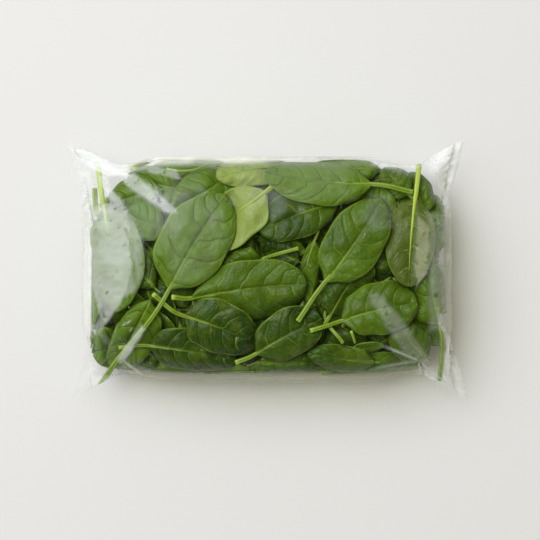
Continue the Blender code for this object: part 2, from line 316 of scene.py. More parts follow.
leaves = dict(
    centreRight=blade((35.4, -7.3), (70.1, 43.9), (18.9, -31.1), (18.0, 17.6), -0.05, 1, bow=-1.5, cup=1.6,
        arch=0.8, wave=0.7, tipPower=0.6),
    bigLeft=blade((-59.7, -12.2), (-24.3, 45.6), (-102.3, -70.4), (22.0, 20.8), 0.68, 2, bow=1.6, cup=1.4,
        arch=0.8, wave=0.8, stemBow=3.0, tipPower=0.58),
    rightTurned=blade((90.8, 43.9), (86.6, -10.4), (93.9, 64.8), (15.2, 15.2), -0.85, 3, bow=-1.0, arch=0.6,
        wave=0.5, turned=1, stemTone=0.9, tipPower=0.55),
    topRight=blade((64.0, 52.4), (-0.9, 60.3), (89.2, 47.6), (15.0, 12.0), 0.78, 4, bow=1.8, cup=1.2,
        wave=0.6, fullest=0.52, tipPower=0.46),
    lowerRight=blade((45.1, -31.1), (92.0, -20.1), (26.5, -37.0), (17.0, 15.6), -0.05, 6, bow=1.5, cup=1.8,
        arch=1.0, wave=0.8, fullest=0.56, tipPower=0.44),
    lowerMiddle=blade((-6.7, -51.2), (33.5, -29.2), (-19.1, -56.6), (15.6, 14.6), -0.52, 7, cup=1.4,
        arch=0.8, wave=0.6, fullest=0.54, tipPower=0.46),
    paleTurned=blade((-0.6, 47.7), (-51.0, 12.4), (5.6, 53.0), (17.4, 14.6), 0.22, 8, bow=0.5, cup=1.2,
        arch=0.6, wave=0.8, fullest=0.46, turned=1, tipPower=0.42, stemTone=0.35),
    darkLower=blade((-50.5, -28.0), (-5.5, -46.2), (-69.4, -14.6), (16.5, 15.6), -0.58, 9, bow=1.5, cup=1.2,
        arch=1.0, wave=0.8, fullest=0.45),
    wideMiddle=blade((-45.7, -17.1), (24.4, -8.5), (-57.9, -16.5), (17.6, 19.6), -0.16, 10, bow=1.5,
        cup=1.6, arch=0.8, wave=0.6, fullest=0.55, tipPower=0.48),
    upperMiddle=blade((44.5, 41.8), (-4.4, 23.4), (54.0, 46.0), (14.4, 15.0), -0.3, 11, bow=-1.5, arch=0.8,
        wave=0.6, fullest=0.55, tipPower=0.46),
    topPale=blade((14.2, 63.2), (-31.2, 56.1), (20.0, 64.0), (10.5, 12.4), 0.95, 12, bow=-2.0, arch=0.6,
        turned=1, tipPower=0.58),
    leftEnd=blade((-99.9, 37.8), (-92.0, -26.2), (-104.2, 66.4), (20.5, 12.0), 0.3, 13, bow=1.2, arch=0.8,
        wave=0.6, fullest=0.46, tipPower=0.62, stemTone=1.0),
    shortStem=blade((-3.0, 6.7), (-27.4, 1.0), (19.0, 13.2), (9.0, 9.6), -0.1, 14, bow=0.8, cup=0.8,
        fullest=0.42),
    lowerLeft=blade((-72.5, -46.3), (-18.9, -55.6), (-90.8, -47.6), (14.0, 12.6), -0.7, 15, cup=1.6,
        arch=0.8, wave=0.6, fullest=0.48, rib=0.8),
    behindBigLeft=blade((-62.0, 25.0), (-87.0, 36.0), (-60.5, 24.4), (11.0, 12.0), 0.6, 16, cup=1.2,
        arch=0.8, wave=0.5, rib=0.4),
    upperLeftA=blade((-21.3, 59.7), (-58.4, 38.6), (-14.0, 63.0), (14.0, 14.0), 0.6, 17, bow=2.0, cup=1.4,
        arch=0.8, wave=0.5),
    upperLeftB=blade((-18.9, 51.2), (-53.5, 28.6), (-12.0, 55.0), (12.6, 12.6), 0.4, 18, bow=1.5, cup=1.2,
        arch=0.8, wave=0.5),
    leftTurned=blade((-65.2, 48.7), (-94.9, 41.0), (-63.5, 49.2), (10.4, 11.0), 0.7, 19, bow=-1.0, cup=0.8,
        arch=0.6, wave=0.5, fullest=0.45, rib=0.45),
    topLeftDark=blade((-51.8, 48.7), (-85.2, 59.9), (-44.0, 46.5), (10.4, 11.0), 0.2, 20, arch=0.6,
        wave=0.5),
    underRight=blade((38.4, -28.0), (62.0, 7.8), (31.0, -38.0), (14.4, 14.0), -0.45, 21, cup=1.2, arch=0.6),
    narrowMiddle=blade((29.1, 18.0), (24.2, -18.6), (31.5, 24.0), (9.5, 3.0), 0.05, 22, bow=-3.2, cup=0.8,
        fullest=0.45, stemTone=0.15, rib=0.6),
    rightBehind=blade((78.0, 32.5), (56.2, 50.4), (84.0, 27.0), (10.6, 10.6), 0.1, 23, arch=0.6),
    farRight=blade((106.1, -34.3), (98.2, 5.4), (107.2, -68.2), (13.6, 12.0), 0.0, 24, cup=1.4, arch=0.8,
        wave=0.5, fullest=0.45),
    cornerRightA=blade((87.6, 45.9), (72.0, 63.0), (92.0, 40.0), (9.8, 10.2), -0.05, 25, cup=1.2, arch=0.6),
    cornerRightB=blade((96.8, 33.7), (88.0, 60.5), (98.0, 24.0), (9.4, 9.2), -0.05, 26, bow=-0.8, cup=1.2,
        arch=0.6),
    rightEdge=blade((104.0, 10.3), (103.4, 46.5), (104.0, 7.8), (8.6, 8.6), 0.05, 27, bow=0.8, cup=1.2,
        arch=0.6, rib=0.45),
    lowerStemLeaf=blade((36.0, -25.0), (44.0, -8.0), (46.3, -44.5), (6.0, 6.0), 0.0, 28, bow=0.5, cup=0.5,
        arch=0.3, wave=0.3),
    bottomRight=blade((66.1, -56.3), (24.8, -50.0), (68.6, -56.7), (8.4, 8.4), -0.35, 29, rib=0.45),
    bottomMiddle=blade((-3.0, -57.3), (34.4, -56.8), (-5.5, -57.3), (7.4, 8.0), -0.35, 30, bow=0.6, cup=0.8,
        rib=0.45),
    bottomSmall=blade((52.0, -50.4), (71.0, -46.0), (45.0, -52.0), (3.6, 3.8), 0.1, 31, bow=0.5, cup=0.4,
        arch=0.3, wave=0.3, fullest=0.45),
    cornerLowRight=blade((98.9, -53.9), (77.8, -33.4), (100.7, -55.6), (12.0, 12.6), -0.1, 32, cup=1.6,
        arch=0.8, wave=0.6, rib=0.3),
    rightLow=blade((106.1, -46.0), (93.6, -25.0), (108.0, -54.0), (7.0, 7.0), 0.1, 33, bow=0.8, cup=0.8,
        rib=0.3),
    leftCorner=blade((-71.3, -18.3), (-97.0, -60.0), (-69.8, -16.3), (15.8, 10.5), 0.75, 34, bow=1.5,
        cup=1.6, arch=0.8, wave=0.6, rib=0.3, stemTone=-1.0),
    leftCornerPale=blade((-88.0, -46.0), (-109.4, -50.8), (-88.5, -45.6), (13.5, 13.5), 1.0, 35, bow=0.6,
        fullest=0.42, rib=0.3, tipPower=0.75),
    leftBottom=blade((-91.4, -61.0), (-65.0, -49.0), (-93.7, -62.0), (9.6, 9.2), -0.35, 36, bow=0.6,
        rib=0.45),
    leftSide=blade((-106.6, -33.9), (-107.4, 26.7), (-106.6, -36.4), (8.0, 8.0), 0.2, 37, bow=0.6, wave=0.5,
        rib=0.45),
    topShoulder=blade((-24.0, 64.8), (-72.0, 63.0), (-21.5, 64.9), (9.0, 9.0), 0.9, 38, bow=0.8, wave=1.6,
        rib=0.45),
    topShoulderRight=blade((70.0, 62.0), (30.0, 65.5), (72.5, 61.6), (9.0, 8.0), 0.9, 39, bow=0.8, wave=0.6,
        rib=0.45),
    lowShoulderA=blade((-10.5, -62.5), (-72.3, -61.0), (-8.0, -62.6), (9.0, 9.0), 0.75, 40, bow=0.8,
        wave=0.6, rib=0.45),
    lowShoulderB=blade((38.9, -61.3), (96.0, -59.0), (36.4, -61.4), (9.0, 9.0), 0.75, 41, bow=0.8, wave=0.6,
        rib=0.45),
    topRightSecond=blade((70.0, 58.5), (38.0, 66.0), (72.5, 57.6), (7.3, 7.3), 0.6, 43, bow=0.6, wave=0.5,
        rib=0.45),
    underMiddle=blade((20.1, 4.9), (-3.0, 16.5), (22.3, 3.8), (7.9, 7.9), -0.5, 44, bow=0.6, rib=0.45),
    leftSliver=blade((-108.8, -46.1), (-100.2, -12.3), (-109.4, -48.5), (7.4, 7.4), 0.1, 45, bow=0.6,
        rib=0.45),
    underEdge=blade((24.0, 11.0), (-5.0, 20.5), (26.4, 10.2), (5.5, 6.5), -0.1, 46, bow=0.8, cup=0.8,
        rib=0.45),
    lowShoulderC=blade((-12.0, -62.7), (46.0, -62.0), (-5.6, -62.7), (8.0, 8.0), 0.75, 42, bow=0.8,
        wave=0.6, rib=0.45),
)


def planCurve(a, b, bow, s):
    # a way from a to b that bends aside by bow, with its direction at each place
    a, b = np.array(a, float), np.array(b, float)
    aside = np.array([-(b - a)[1], (b - a)[0]]) / np.hypot(*(b - a))
    knee = 0.5 * (a + b) + 2.0 * bow * aside
    s = np.asarray(s)[..., None]
    place = (1 - s) ** 2 * a + 2 * s * (1 - s) * knee + s ** 2 * b
    heading = 2 * (1 - s) * (knee - a) + 2 * s * (b - knee)
    return place, heading / np.linalg.norm(heading, axis=-1, keepdims=True)


def halfWidth(along, wide, fullest, tipPower):
    # the blade's outline: a wedge from the stem, widest at fullest; a low tipPower gives a rounder tip
    basePower = tipPower * fullest / (1 - fullest)
    outline = (np.clip(along, 0, 1) / fullest) ** basePower * (
        np.clip(1 - along, 0, 1) / (1 - fullest)) ** tipPower
    outline = outline * (0.25 + 0.75 * smooth(along, -0.04, 0.16))
    return 1.2 * (1 - along) + (wide - 0.6) * outline


def bladeSheet(leaf, rows, columns):
    # plan, own form and marks of a blade
    s, t = np.meshgrid(np.linspace(0, 1, rows), np.linspace(-1, 1, columns), indexing="ij")
    side = np.abs(t)
    along = s + leafForm["slant"] * side ** leafForm["bend"] * s * (1 - s)
    place, heading = planCurve(leaf["base"], leaf["tip"], leaf["bow"], along)
    length = math.dist(leaf["base"], leaf["tip"])
    rng = np.random.default_rng(leaf["seed"])
    phase, turns = rng.uniform(0, 6.28, 4), rng.uniform(1.6, 3.4, 2)
    wide = np.where(t < 0, leaf["wide"][1], leaf["wide"][0])
    reach = halfWidth(along, wide, leaf["fullest"], leaf.get("tipPower", 0.52))
    reach = reach * (1 + 0.025 * np.sin(turns[0] * 6.28 * along + phase[0] + (t > 0) * 2.0))
    across = t * reach
    x = place[..., 0] - heading[..., 1] * across
    y = place[..., 1] + heading[..., 0] * across
    rimward = side ** 2.2
    ripple = 1.3 * leaf["wave"] * np.sin(6.28 * turns[1] * along + phase[1] + (t > 0) * phase[2]) * rimward
    lean = np.random.default_rng(leaf["seed"] + 900).uniform(-1, 1, 2) * leafForm["tilt"]
    form = leaf["cup"] * rimward + leaf["arch"] * (2 * along - 1) ** 2 + ripple
    form = form + lean[0] * t * side ** 0.5 + lean[1] * (2 * along - 1)
    row = s * leafForm["veins"] + phase[3] * 0.1
    row = row + 0.42 * softNoise(s * 3.2, np.sign(t) * 3.0, 1.0, leaf["seed"] + 20)
    row = row + 0.10 * softNoise(x, y, 5.0, leaf["seed"] + 30)
    sideRow = row + 0.5 * (t > 0)
    between = np.abs((sideRow % 1.0) - 0.5) * 2.0        # 0 on a vein, 1 midway
    ribs = smooth(side, 0.0, 0.12) * (1 - smooth(side, 0.86, 1.0))
    ribs = ribs * smooth(along, 0.0, 0.08) * (1 - smooth(along, 0.9, 1.0))
    relief = leafForm["quilt"] * (np.sqrt(between) - 1.0) * ribs
    folded = leafForm["fold"] * np.exp(-np.abs(across) / leafForm["foldWidth"])
    relief = relief - folded * (1 - smooth(along, 0.75, 1.0))
    lumps = softNoise(x, y, 9.0, leaf["seed"] + 50) + 0.5 * softNoise(x, y, 4.0, leaf["seed"] + 80)
    lumps = leafForm["lump"] * lumps * (1 - side ** 4)
    marks = dict(
        along=along * length, across=across, row=row, edge=side, reach=along,
        rib=np.abs(across) / (0.9 - 0.65 * along))
    return dict(
        x=x, y=y, form=form - form.min(), relief=relief + lumps - 0.45 * leafForm["lump"], marks=marks,
        length=length)


def overEdge(x, y):
    # a blade that reaches past the filled body bends down inside the film instead
    fall = 0.0
    bent = []
    bend = pile["bend"]
    for value, low, high in ((x, pile["left"], pile["right"]), (y, pile["bottom"], pile["top"])):
        under = np.maximum(0.0, low + bend - value)
        over = np.maximum(0.0, value - (high - bend))
        keptUnder, keptOver = bend * (1 - np.exp(-under / bend)), bend * (1 - np.exp(-over / bend))
        bent.append(np.clip(value, low + bend, high - bend) - keptUnder + keptOver)
        fall = fall + (under - keptUnder) + (over - keptOver)
    return bent[0], bent[1], fall


def makeMarks(count, **values):
    return {
        key: np.broadcast_to(
            np.asarray(value, float).reshape(-1) if np.ndim(value) else value, (count,)) for key,
        value in values.items()}


def bothSides(sheet, turned, leaf):
    # the marks of a blade's upper and under side
    marks = {key: np.tile(value.reshape(-1), 2) for key, value in sheet["marks"].items()}
    count = sheet["x"].size
    marks["under"] = np.repeat([float(turned), 1.0 - turned], count)
    marks["tone"] = np.full(2 * count, leaf["tone"])
    marks["leafId"] = np.full(2 * count, float(leaf["seed"]))
    return marks


def stemTube(path, radii, leaf, groove, sides=leafForm["stemSides"]):
    # a round stem with a shallow groove along its top, its cut end closed
    path, radii = np.asarray(path), np.asarray(radii)
    ahead = np.gradient(path, axis=0)
    ahead /= np.linalg.norm(ahead, axis=1, keepdims=True)
    aside = np.cross(ahead, (0, 0, 1.0))
    aside /= np.linalg.norm(aside, axis=1, keepdims=True)
    up = np.cross(aside, ahead)
    angle = np.linspace(0, 2 * math.pi, sides, endpoint=False)
    shape = 1.0 - groove * np.exp(-((angle - 0.5 * math.pi) / 0.5) ** 2)
    ring = (np.cos(angle) * shape)[None, :, None] * aside[:, None, :] + 0.9 * (
        np.sin(angle) * shape)[None, :, None] * up[:, None, :]
    points = (path[:, None, :] + radii[:, None, None] * ring).reshape(-1, 3)
    count = len(path)
    faces = []
    for i in range(count - 1):
        for j in range(sides):
            a, b = i * sides + j, i * sides + (j + 1) % sides
            faces.append([a, a + sides, b + sides, b])
    start = len(points)
    points = np.concatenate([points, path[:1] - ahead[:1] * 0.25, path[-1:] + ahead[-1:] * 0.2])
    for j in range(sides):
        faces.append([j, (j + 1) % sides, start])
        last = (count - 1) * sides
        faces.append([last + (j + 1) % sides, last + j, start + 1])
    distance = np.concatenate([[0], np.cumsum(np.linalg.norm(np.diff(path, axis=0), axis=1))])
    total = len(points)
    along = np.concatenate([np.repeat(distance, sides), [0, distance[-1]]])
    height = np.concatenate([np.tile(np.sin(angle), count), [0, 0]])
    marks = makeMarks(
        total, along=along, height=height,
        tone=leaf.get("stemTone", -0.8 if leaf.get("rib", 1.0) < 0.5 else 0.0), leafId=leaf["seed"])
    return dict(points=points, faces=faces, marks=marks)


def meshSize(leaf):
    coarse = leaf.get("coarse", 1.0)
    rows = int(np.clip(math.dist(leaf["base"], leaf["tip"]) / leafForm["rowStep"] / coarse, 14, 68))
    columns = 2 * int(np.clip(0.5 * sum(leaf["wide"]) / leafForm["columnStep"] / coarse, 4, 16)) + 1
    return rows, columns


def layLeaf(name, leaf):
    global ceiling
    soft = blurMap(lowestNear(ceiling, pile["bridged"]), pile["soft"])
    # the sheet is worked out finely to keep room under it, and coarser for its mesh
    meshParts = []
    for fine in (False, True):
        rows, columns = leafForm["fineSheet"] if fine else meshSize(leaf)
        sheet = bladeSheet(leaf, rows, columns)
        x, y, fall = overEdge(sheet["x"], sheet["y"])
        wanted = readMap(soft, x, y) - pile["gap"] - sheet["form"] - fall
        z = softMin(wanted, readMap(ceiling, x, y) - pile["gap"], 0.25) + sheet["relief"]
        z = softMax(z, readMap(lowRoom, x, y) + 1.2, 0.4)
        if fine:
            fineSheet = (x, y, z)
        else:
            meshParts = (sheet, np.stack([x, y, z], axis=-1))
    sheet, top = meshParts
    # the stem: from its cut end to the blade, then on as the midrib
    stemLength = math.dist(leaf["base"], leaf["stem"])
    steps = max(6, int(stemLength / 2.0))
    turned = leaf.get("turned", 0)
    ribSteps = leafForm["ribSteps"]
    ribShare = np.linspace(0.0, leafForm["ribEnd"], ribSteps)
    ribPlan, _ = planCurve(leaf["base"], leaf["tip"], leaf["bow"], ribShare)
    way = ribPlan[1] - ribPlan[0]
    base, end = np.array(leaf["base"]), np.array(leaf["stem"])
    knee = base - way / np.hypot(*way) * 0.4 * stemLength
    aside = np.array([-(base - end)[1], (base - end)[0]]) / max(stemLength, 0.1)
    knee2 = 0.35 * base + 0.65 * end + aside * leaf.get("stemBow", 0.0)
    q = np.linspace(0, 1, steps)[:, None]
    stemPlan = (1 - q) ** 3 * end + 3 * q * (1 - q) ** 2 * knee2 + 3 * q * q * (1 - q) * knee + q ** 3 * base
    plan = np.concatenate([stemPlan[:-1], ribPlan])
    radius = leafForm["stemRadius"] * min(1.0, 0.55 + 0.45 * sheet["length"] / 60.0) * leaf.get("rib", 1.0)
    radii = np.concatenate(
        [
            radius * (1.06 - 0.14 * q[:-1, 0]),
            radius * 0.92 * (1 - 0.90 * np.linspace(0, 1, ribSteps) ** 0.5)])
    middle = top[:, top.shape[1] // 2, :]
    ribHeight = np.interp(ribShare, np.linspace(0, 1, len(middle)), middle[:, 2])
    sink = np.interp(
        ribShare, (0.0, 0.12, 0.45, leafForm["ribEnd"]),
        (0.10, 0.25, 0.20, -0.2) if turned else (-0.25, -0.55, -0.95, -1.7))
    ribHeight = ribHeight + sink * radii[-ribSteps:]
    stemX, stemY = stemPlan[:-1].T
    thick = radii[:steps - 1]
    stemCeiling = readMap(ceiling, stemX, stemY) - thick - 0.2
    for shift in (-1.2, 1.2):
        beside = readMap(ceiling, stemX + shift * aside[0], stemY + shift * aside[1])
        stemCeiling = np.minimum(stemCeiling, beside - thick - 0.1)
    stemFloor = readMap(filmBottom, stemX, stemY) + thick + 0.4
    away = (1 - q[:-1, 0]) * stemLength
    stemHeight = stemCeiling + (ribHeight[0] - stemCeiling) * (1 - smooth(away, 0.0, 12.0))
    stemHeight = np.maximum(softMin(stemHeight, stemCeiling, 0.3), np.minimum(stemFloor, ribHeight[0]))
    for _ in range(6):
        stemHeight[1:-1] = 0.25 * stemHeight[:-2] + 0.5 * stemHeight[1:-1] + 0.25 * stemHeight[2:]
    path = np.column_stack([plan, np.concatenate([stemHeight, ribHeight])])
    stems.append(stemTube(path, radii, leaf, 0.12 if turned else 0.30))
    # both sides of the blade
    normal = normalsOf(top)
    normal *= np.sign(normal[..., 2:3] + 1e-9)
    under = top - normal * pile["thickness"]
    points, faces = closedPillow(top, under)
    marks = bothSides(sheet, turned, leaf)
    (turnedLeaves if turned else frontLeaves).append(dict(points=points, faces=faces, marks=marks))
    # keep the leaves that come next below this one
    x, y, z = fineSheet
    np.minimum.at(ceiling, mapIndex(x, y), z - pile["thickness"] - 0.15)
    knots, finely = np.arange(len(path)), np.linspace(0, len(path) - 1, leafForm["finePath"])
    finePath = np.array([np.interp(finely, knots, path[:, k]) for k in range(3)])
    fineRadius = np.interp(finely, knots, radii)
    heading = np.gradient(finePath[:2], axis=1)
    heading /= np.maximum(1e-9, np.hypot(*heading))
    for share in np.linspace(-1, 1, 9):
        px = finePath[0] - heading[1] * share * fineRadius
        py = finePath[1] + heading[0] * share * fineRadius
        half = fineRadius * math.sqrt(max(0.0, 1 - share ** 2))
        np.minimum.at(ceiling, mapIndex(px, py), finePath[2] - half - 0.1)
        np.maximum.at(stemTop, mapIndex(px, py), finePath[2] + half)


# plain stems that lie among the leaves: points in plan, radius and how far below the film
looseStems = (
    dict(points=((-82.8, 62.8), (-78.5, 65.4), (-74.3, 67.6)), radius=1.5, below=1.5, tone=0.35),
    dict(points=((-84.4, 61.9), (-79.0, 60.2), (-73.7, 58.8)), radius=0.5, below=2.2, tone=-0.5),
    dict(points=((-103.6, 33.5), (-105.4, 41.0), (-106.0, 50.0)), radius=1.7, below=1.0, tone=0.0),
    dict(points=((51.2, -37.2), (52.6, -40.5), (53.7, -44.5)), radius=0.8, below=2.5, tone=0.2),
    dict(
        points=((-61.4, 62.2), (-57.0, 61.0), (-52.7, 60.4), (-44.6, 61.1), (-39.7, 63.2), (-34.5, 65.8)),
        radius=0.7, below=0.9, tone=0.15),
)


def layLooseStem(number, stem):
    knots = np.array(stem["points"], float)
    spans = np.concatenate([[0], np.cumsum(np.hypot(*np.diff(knots, axis=0).T))])
    way = np.linspace(0, spans[-1], max(8, int(spans[-1] / 1.5)))
    plan = np.column_stack([np.interp(way, spans, knots[:, k]) for k in (0, 1)])
    for _ in range(3):
        plan[1:-1] = 0.25 * plan[:-2] + 0.5 * plan[1:-1] + 0.25 * plan[2:]
    height = readMap(
        blurMap(lowestNear(filmTop, 2), 3.0), plan[:, 0], plan[:, 1]) - stem["below"] - stem["radius"]
    path = np.column_stack([plan, height])
    stems.append(
        stemTube(
            path, np.linspace(1.05, 0.9, len(path)) * stem["radius"],
            dict(stemTone=stem["tone"], seed=200 + number), 0.2))


filler = dict(seed=5, columns=8, rows=5, startX=-91, startY=-46, stepX=26, stepY=23, looseX=6, looseY=5,
              shortest=38, longest=54, darkest=-0.75, palest=-0.25, reachX=101.0, reachY=59.0)


def insideBody(x, y):
    # a place drawn in until it lies inside the body's rounded outline
    outside = max(1.0, ((abs(x) / filler["reachX"]) ** 4 + (abs(y) / filler["reachY"]) ** 4) ** 0.25)
    return x / outside, y / outside


def fillerLeaves():
    # darker leaves below the listed ones, so that gaps show leaves; their dark tone and dark stems are
    # painted shade deep in the gaps
    rng = np.random.default_rng(filler["seed"])
    made = {}
    for i in range(filler["columns"]):
        for j in range(filler["rows"]):
            x = filler["startX"] + filler["stepX"] * i + rng.uniform(-filler["looseX"], filler["looseX"])
            y = filler["startY"] + filler["stepY"] * j + rng.uniform(-filler["looseY"], filler["looseY"])
            turn, length = rng.uniform(0, 2 * math.pi), rng.uniform(filler["shortest"], filler["longest"])
            way = 0.5 * length * np.array([math.cos(turn), math.sin(turn)])
            base, tip, stem = (insideBody(x + k * way[0], y + k * way[1]) for k in (-1.0, 1.0, -1.2))
            fullest, bow = rng.uniform(0.44, 0.56), rng.uniform(-2, 2)
            made["filler%d%d" % (i, j)] = blade(
                base, tip, stem, (0.29 * length, 0.27 * length),
                rng.uniform(filler["darkest"], filler["palest"]),
                100 + 8 * j + i, bow, 1.2, 0.8, 0.7, fullest, coarse=2.4, rib=0.5, stemTone=-0.8)
    return made


frontLeaves, turnedLeaves, stems = [], [], []
stemTop = np.zeros_like(ceiling)
for leafName, leaf in leaves.items():
    layLeaf(leafName, leaf)
for number, stem in enumerate(looseStems):
    layLooseStem(number, stem)
for leafName, leaf in fillerLeaves().items():
    layLeaf(leafName, leaf)
print("laid", len(leaves), "leaves by hand, lowest room", round(float(ceiling[180:340, 120:220].min()), 1))


# node helpers

def addNode(tree, kind, inputs=None, **settings):
    made = tree.nodes.new(kind)
    for key, value in settings.items():
        setattr(made, key, value)
    for key, value in (inputs or {}).items():
        if isinstance(value, bpy.types.NodeSocket):
            tree.links.new(value, made.inputs[key])
        else:
            made.inputs[key].default_value = value
    return made


def maths(tree, operation, a, b=0.0, c=0.0, clamp=False):
    return addNode(
        tree, "ShaderNodeMath", {0: a, 1: b, 2: c}, operation=operation, use_clamp=clamp).outputs[0]


def ramp(tree, value, low, high, start=0.0, end=1.0):
    # a smooth step of a value between low and high
    made = addNode(
        tree, "ShaderNodeMapRange",
        {"Value": value, "From Min": low, "From Max": high, "To Min": start, "To Max": end})
    made.interpolation_type = "SMOOTHSTEP"
    return made.outputs[0]


def mark(tree, name):
    return addNode(tree, "ShaderNodeAttribute", attribute_name=name).outputs["Fac"]


def blendColour(tree, share, a, b):
    made = addNode(tree, "ShaderNodeMix", {0: share, 6: a, 7: b}, data_type="RGBA")
    return made.outputs[2]


def newMaterial(name):
    material = bpy.data.materials.new(name)
    material.use_nodes = True
    material.node_tree.nodes.clear()
    return material, material.node_tree


def finished(material, shader):
    addNode(material.node_tree, "ShaderNodeOutputMaterial", {"Surface": shader.outputs[0]})
    return material


def times(tree, a, b, clamp=False):
    return maths(tree, "MULTIPLY", a, b, clamp=clamp)


def plus(tree, a, b, clamp=False):
    return maths(tree, "ADD", a, b, clamp=clamp)


def minus(tree, a, b, clamp=False):
    return maths(tree, "SUBTRACT", a, b, clamp=clamp)


def timesPlus(tree, a, b, c, clamp=False):
    return maths(tree, "MULTIPLY_ADD", a, b, c, clamp=clamp)


def noise(tree, vector, scale, detail=2.0, rough=0.5):
    inputs = {"Vector": vector, "Scale": scale, "Detail": detail, "Roughness": rough}
    return addNode(tree, "ShaderNodeTexNoise", inputs).outputs["Fac"]


# finishes

leafFinish = dict(
    deep=(0.018, 0.050, 0.001, 1), fresh=(0.112, 0.212, 0.007, 1), veinTone=(0.24, 0.37, 0.030, 1),
    creaseShadeTone=(0.045, 0.095, 0.006, 1),
    underDeep=(0.085, 0.125, 0.012, 1), underFresh=(0.300, 0.395, 0.085, 1), underVein=(0.38, 0.48, 0.15, 1),
    edgeTone=(0.22, 0.35, 0.025, 1), olive=(0.115, 0.150, 0.006, 1), roughness=0.36, gloss=0.33,
    puff=0.46, puffWidth=0.045, cells=0.20, cellSize=5.0, grain=0.30,     # relief in millimetres
)


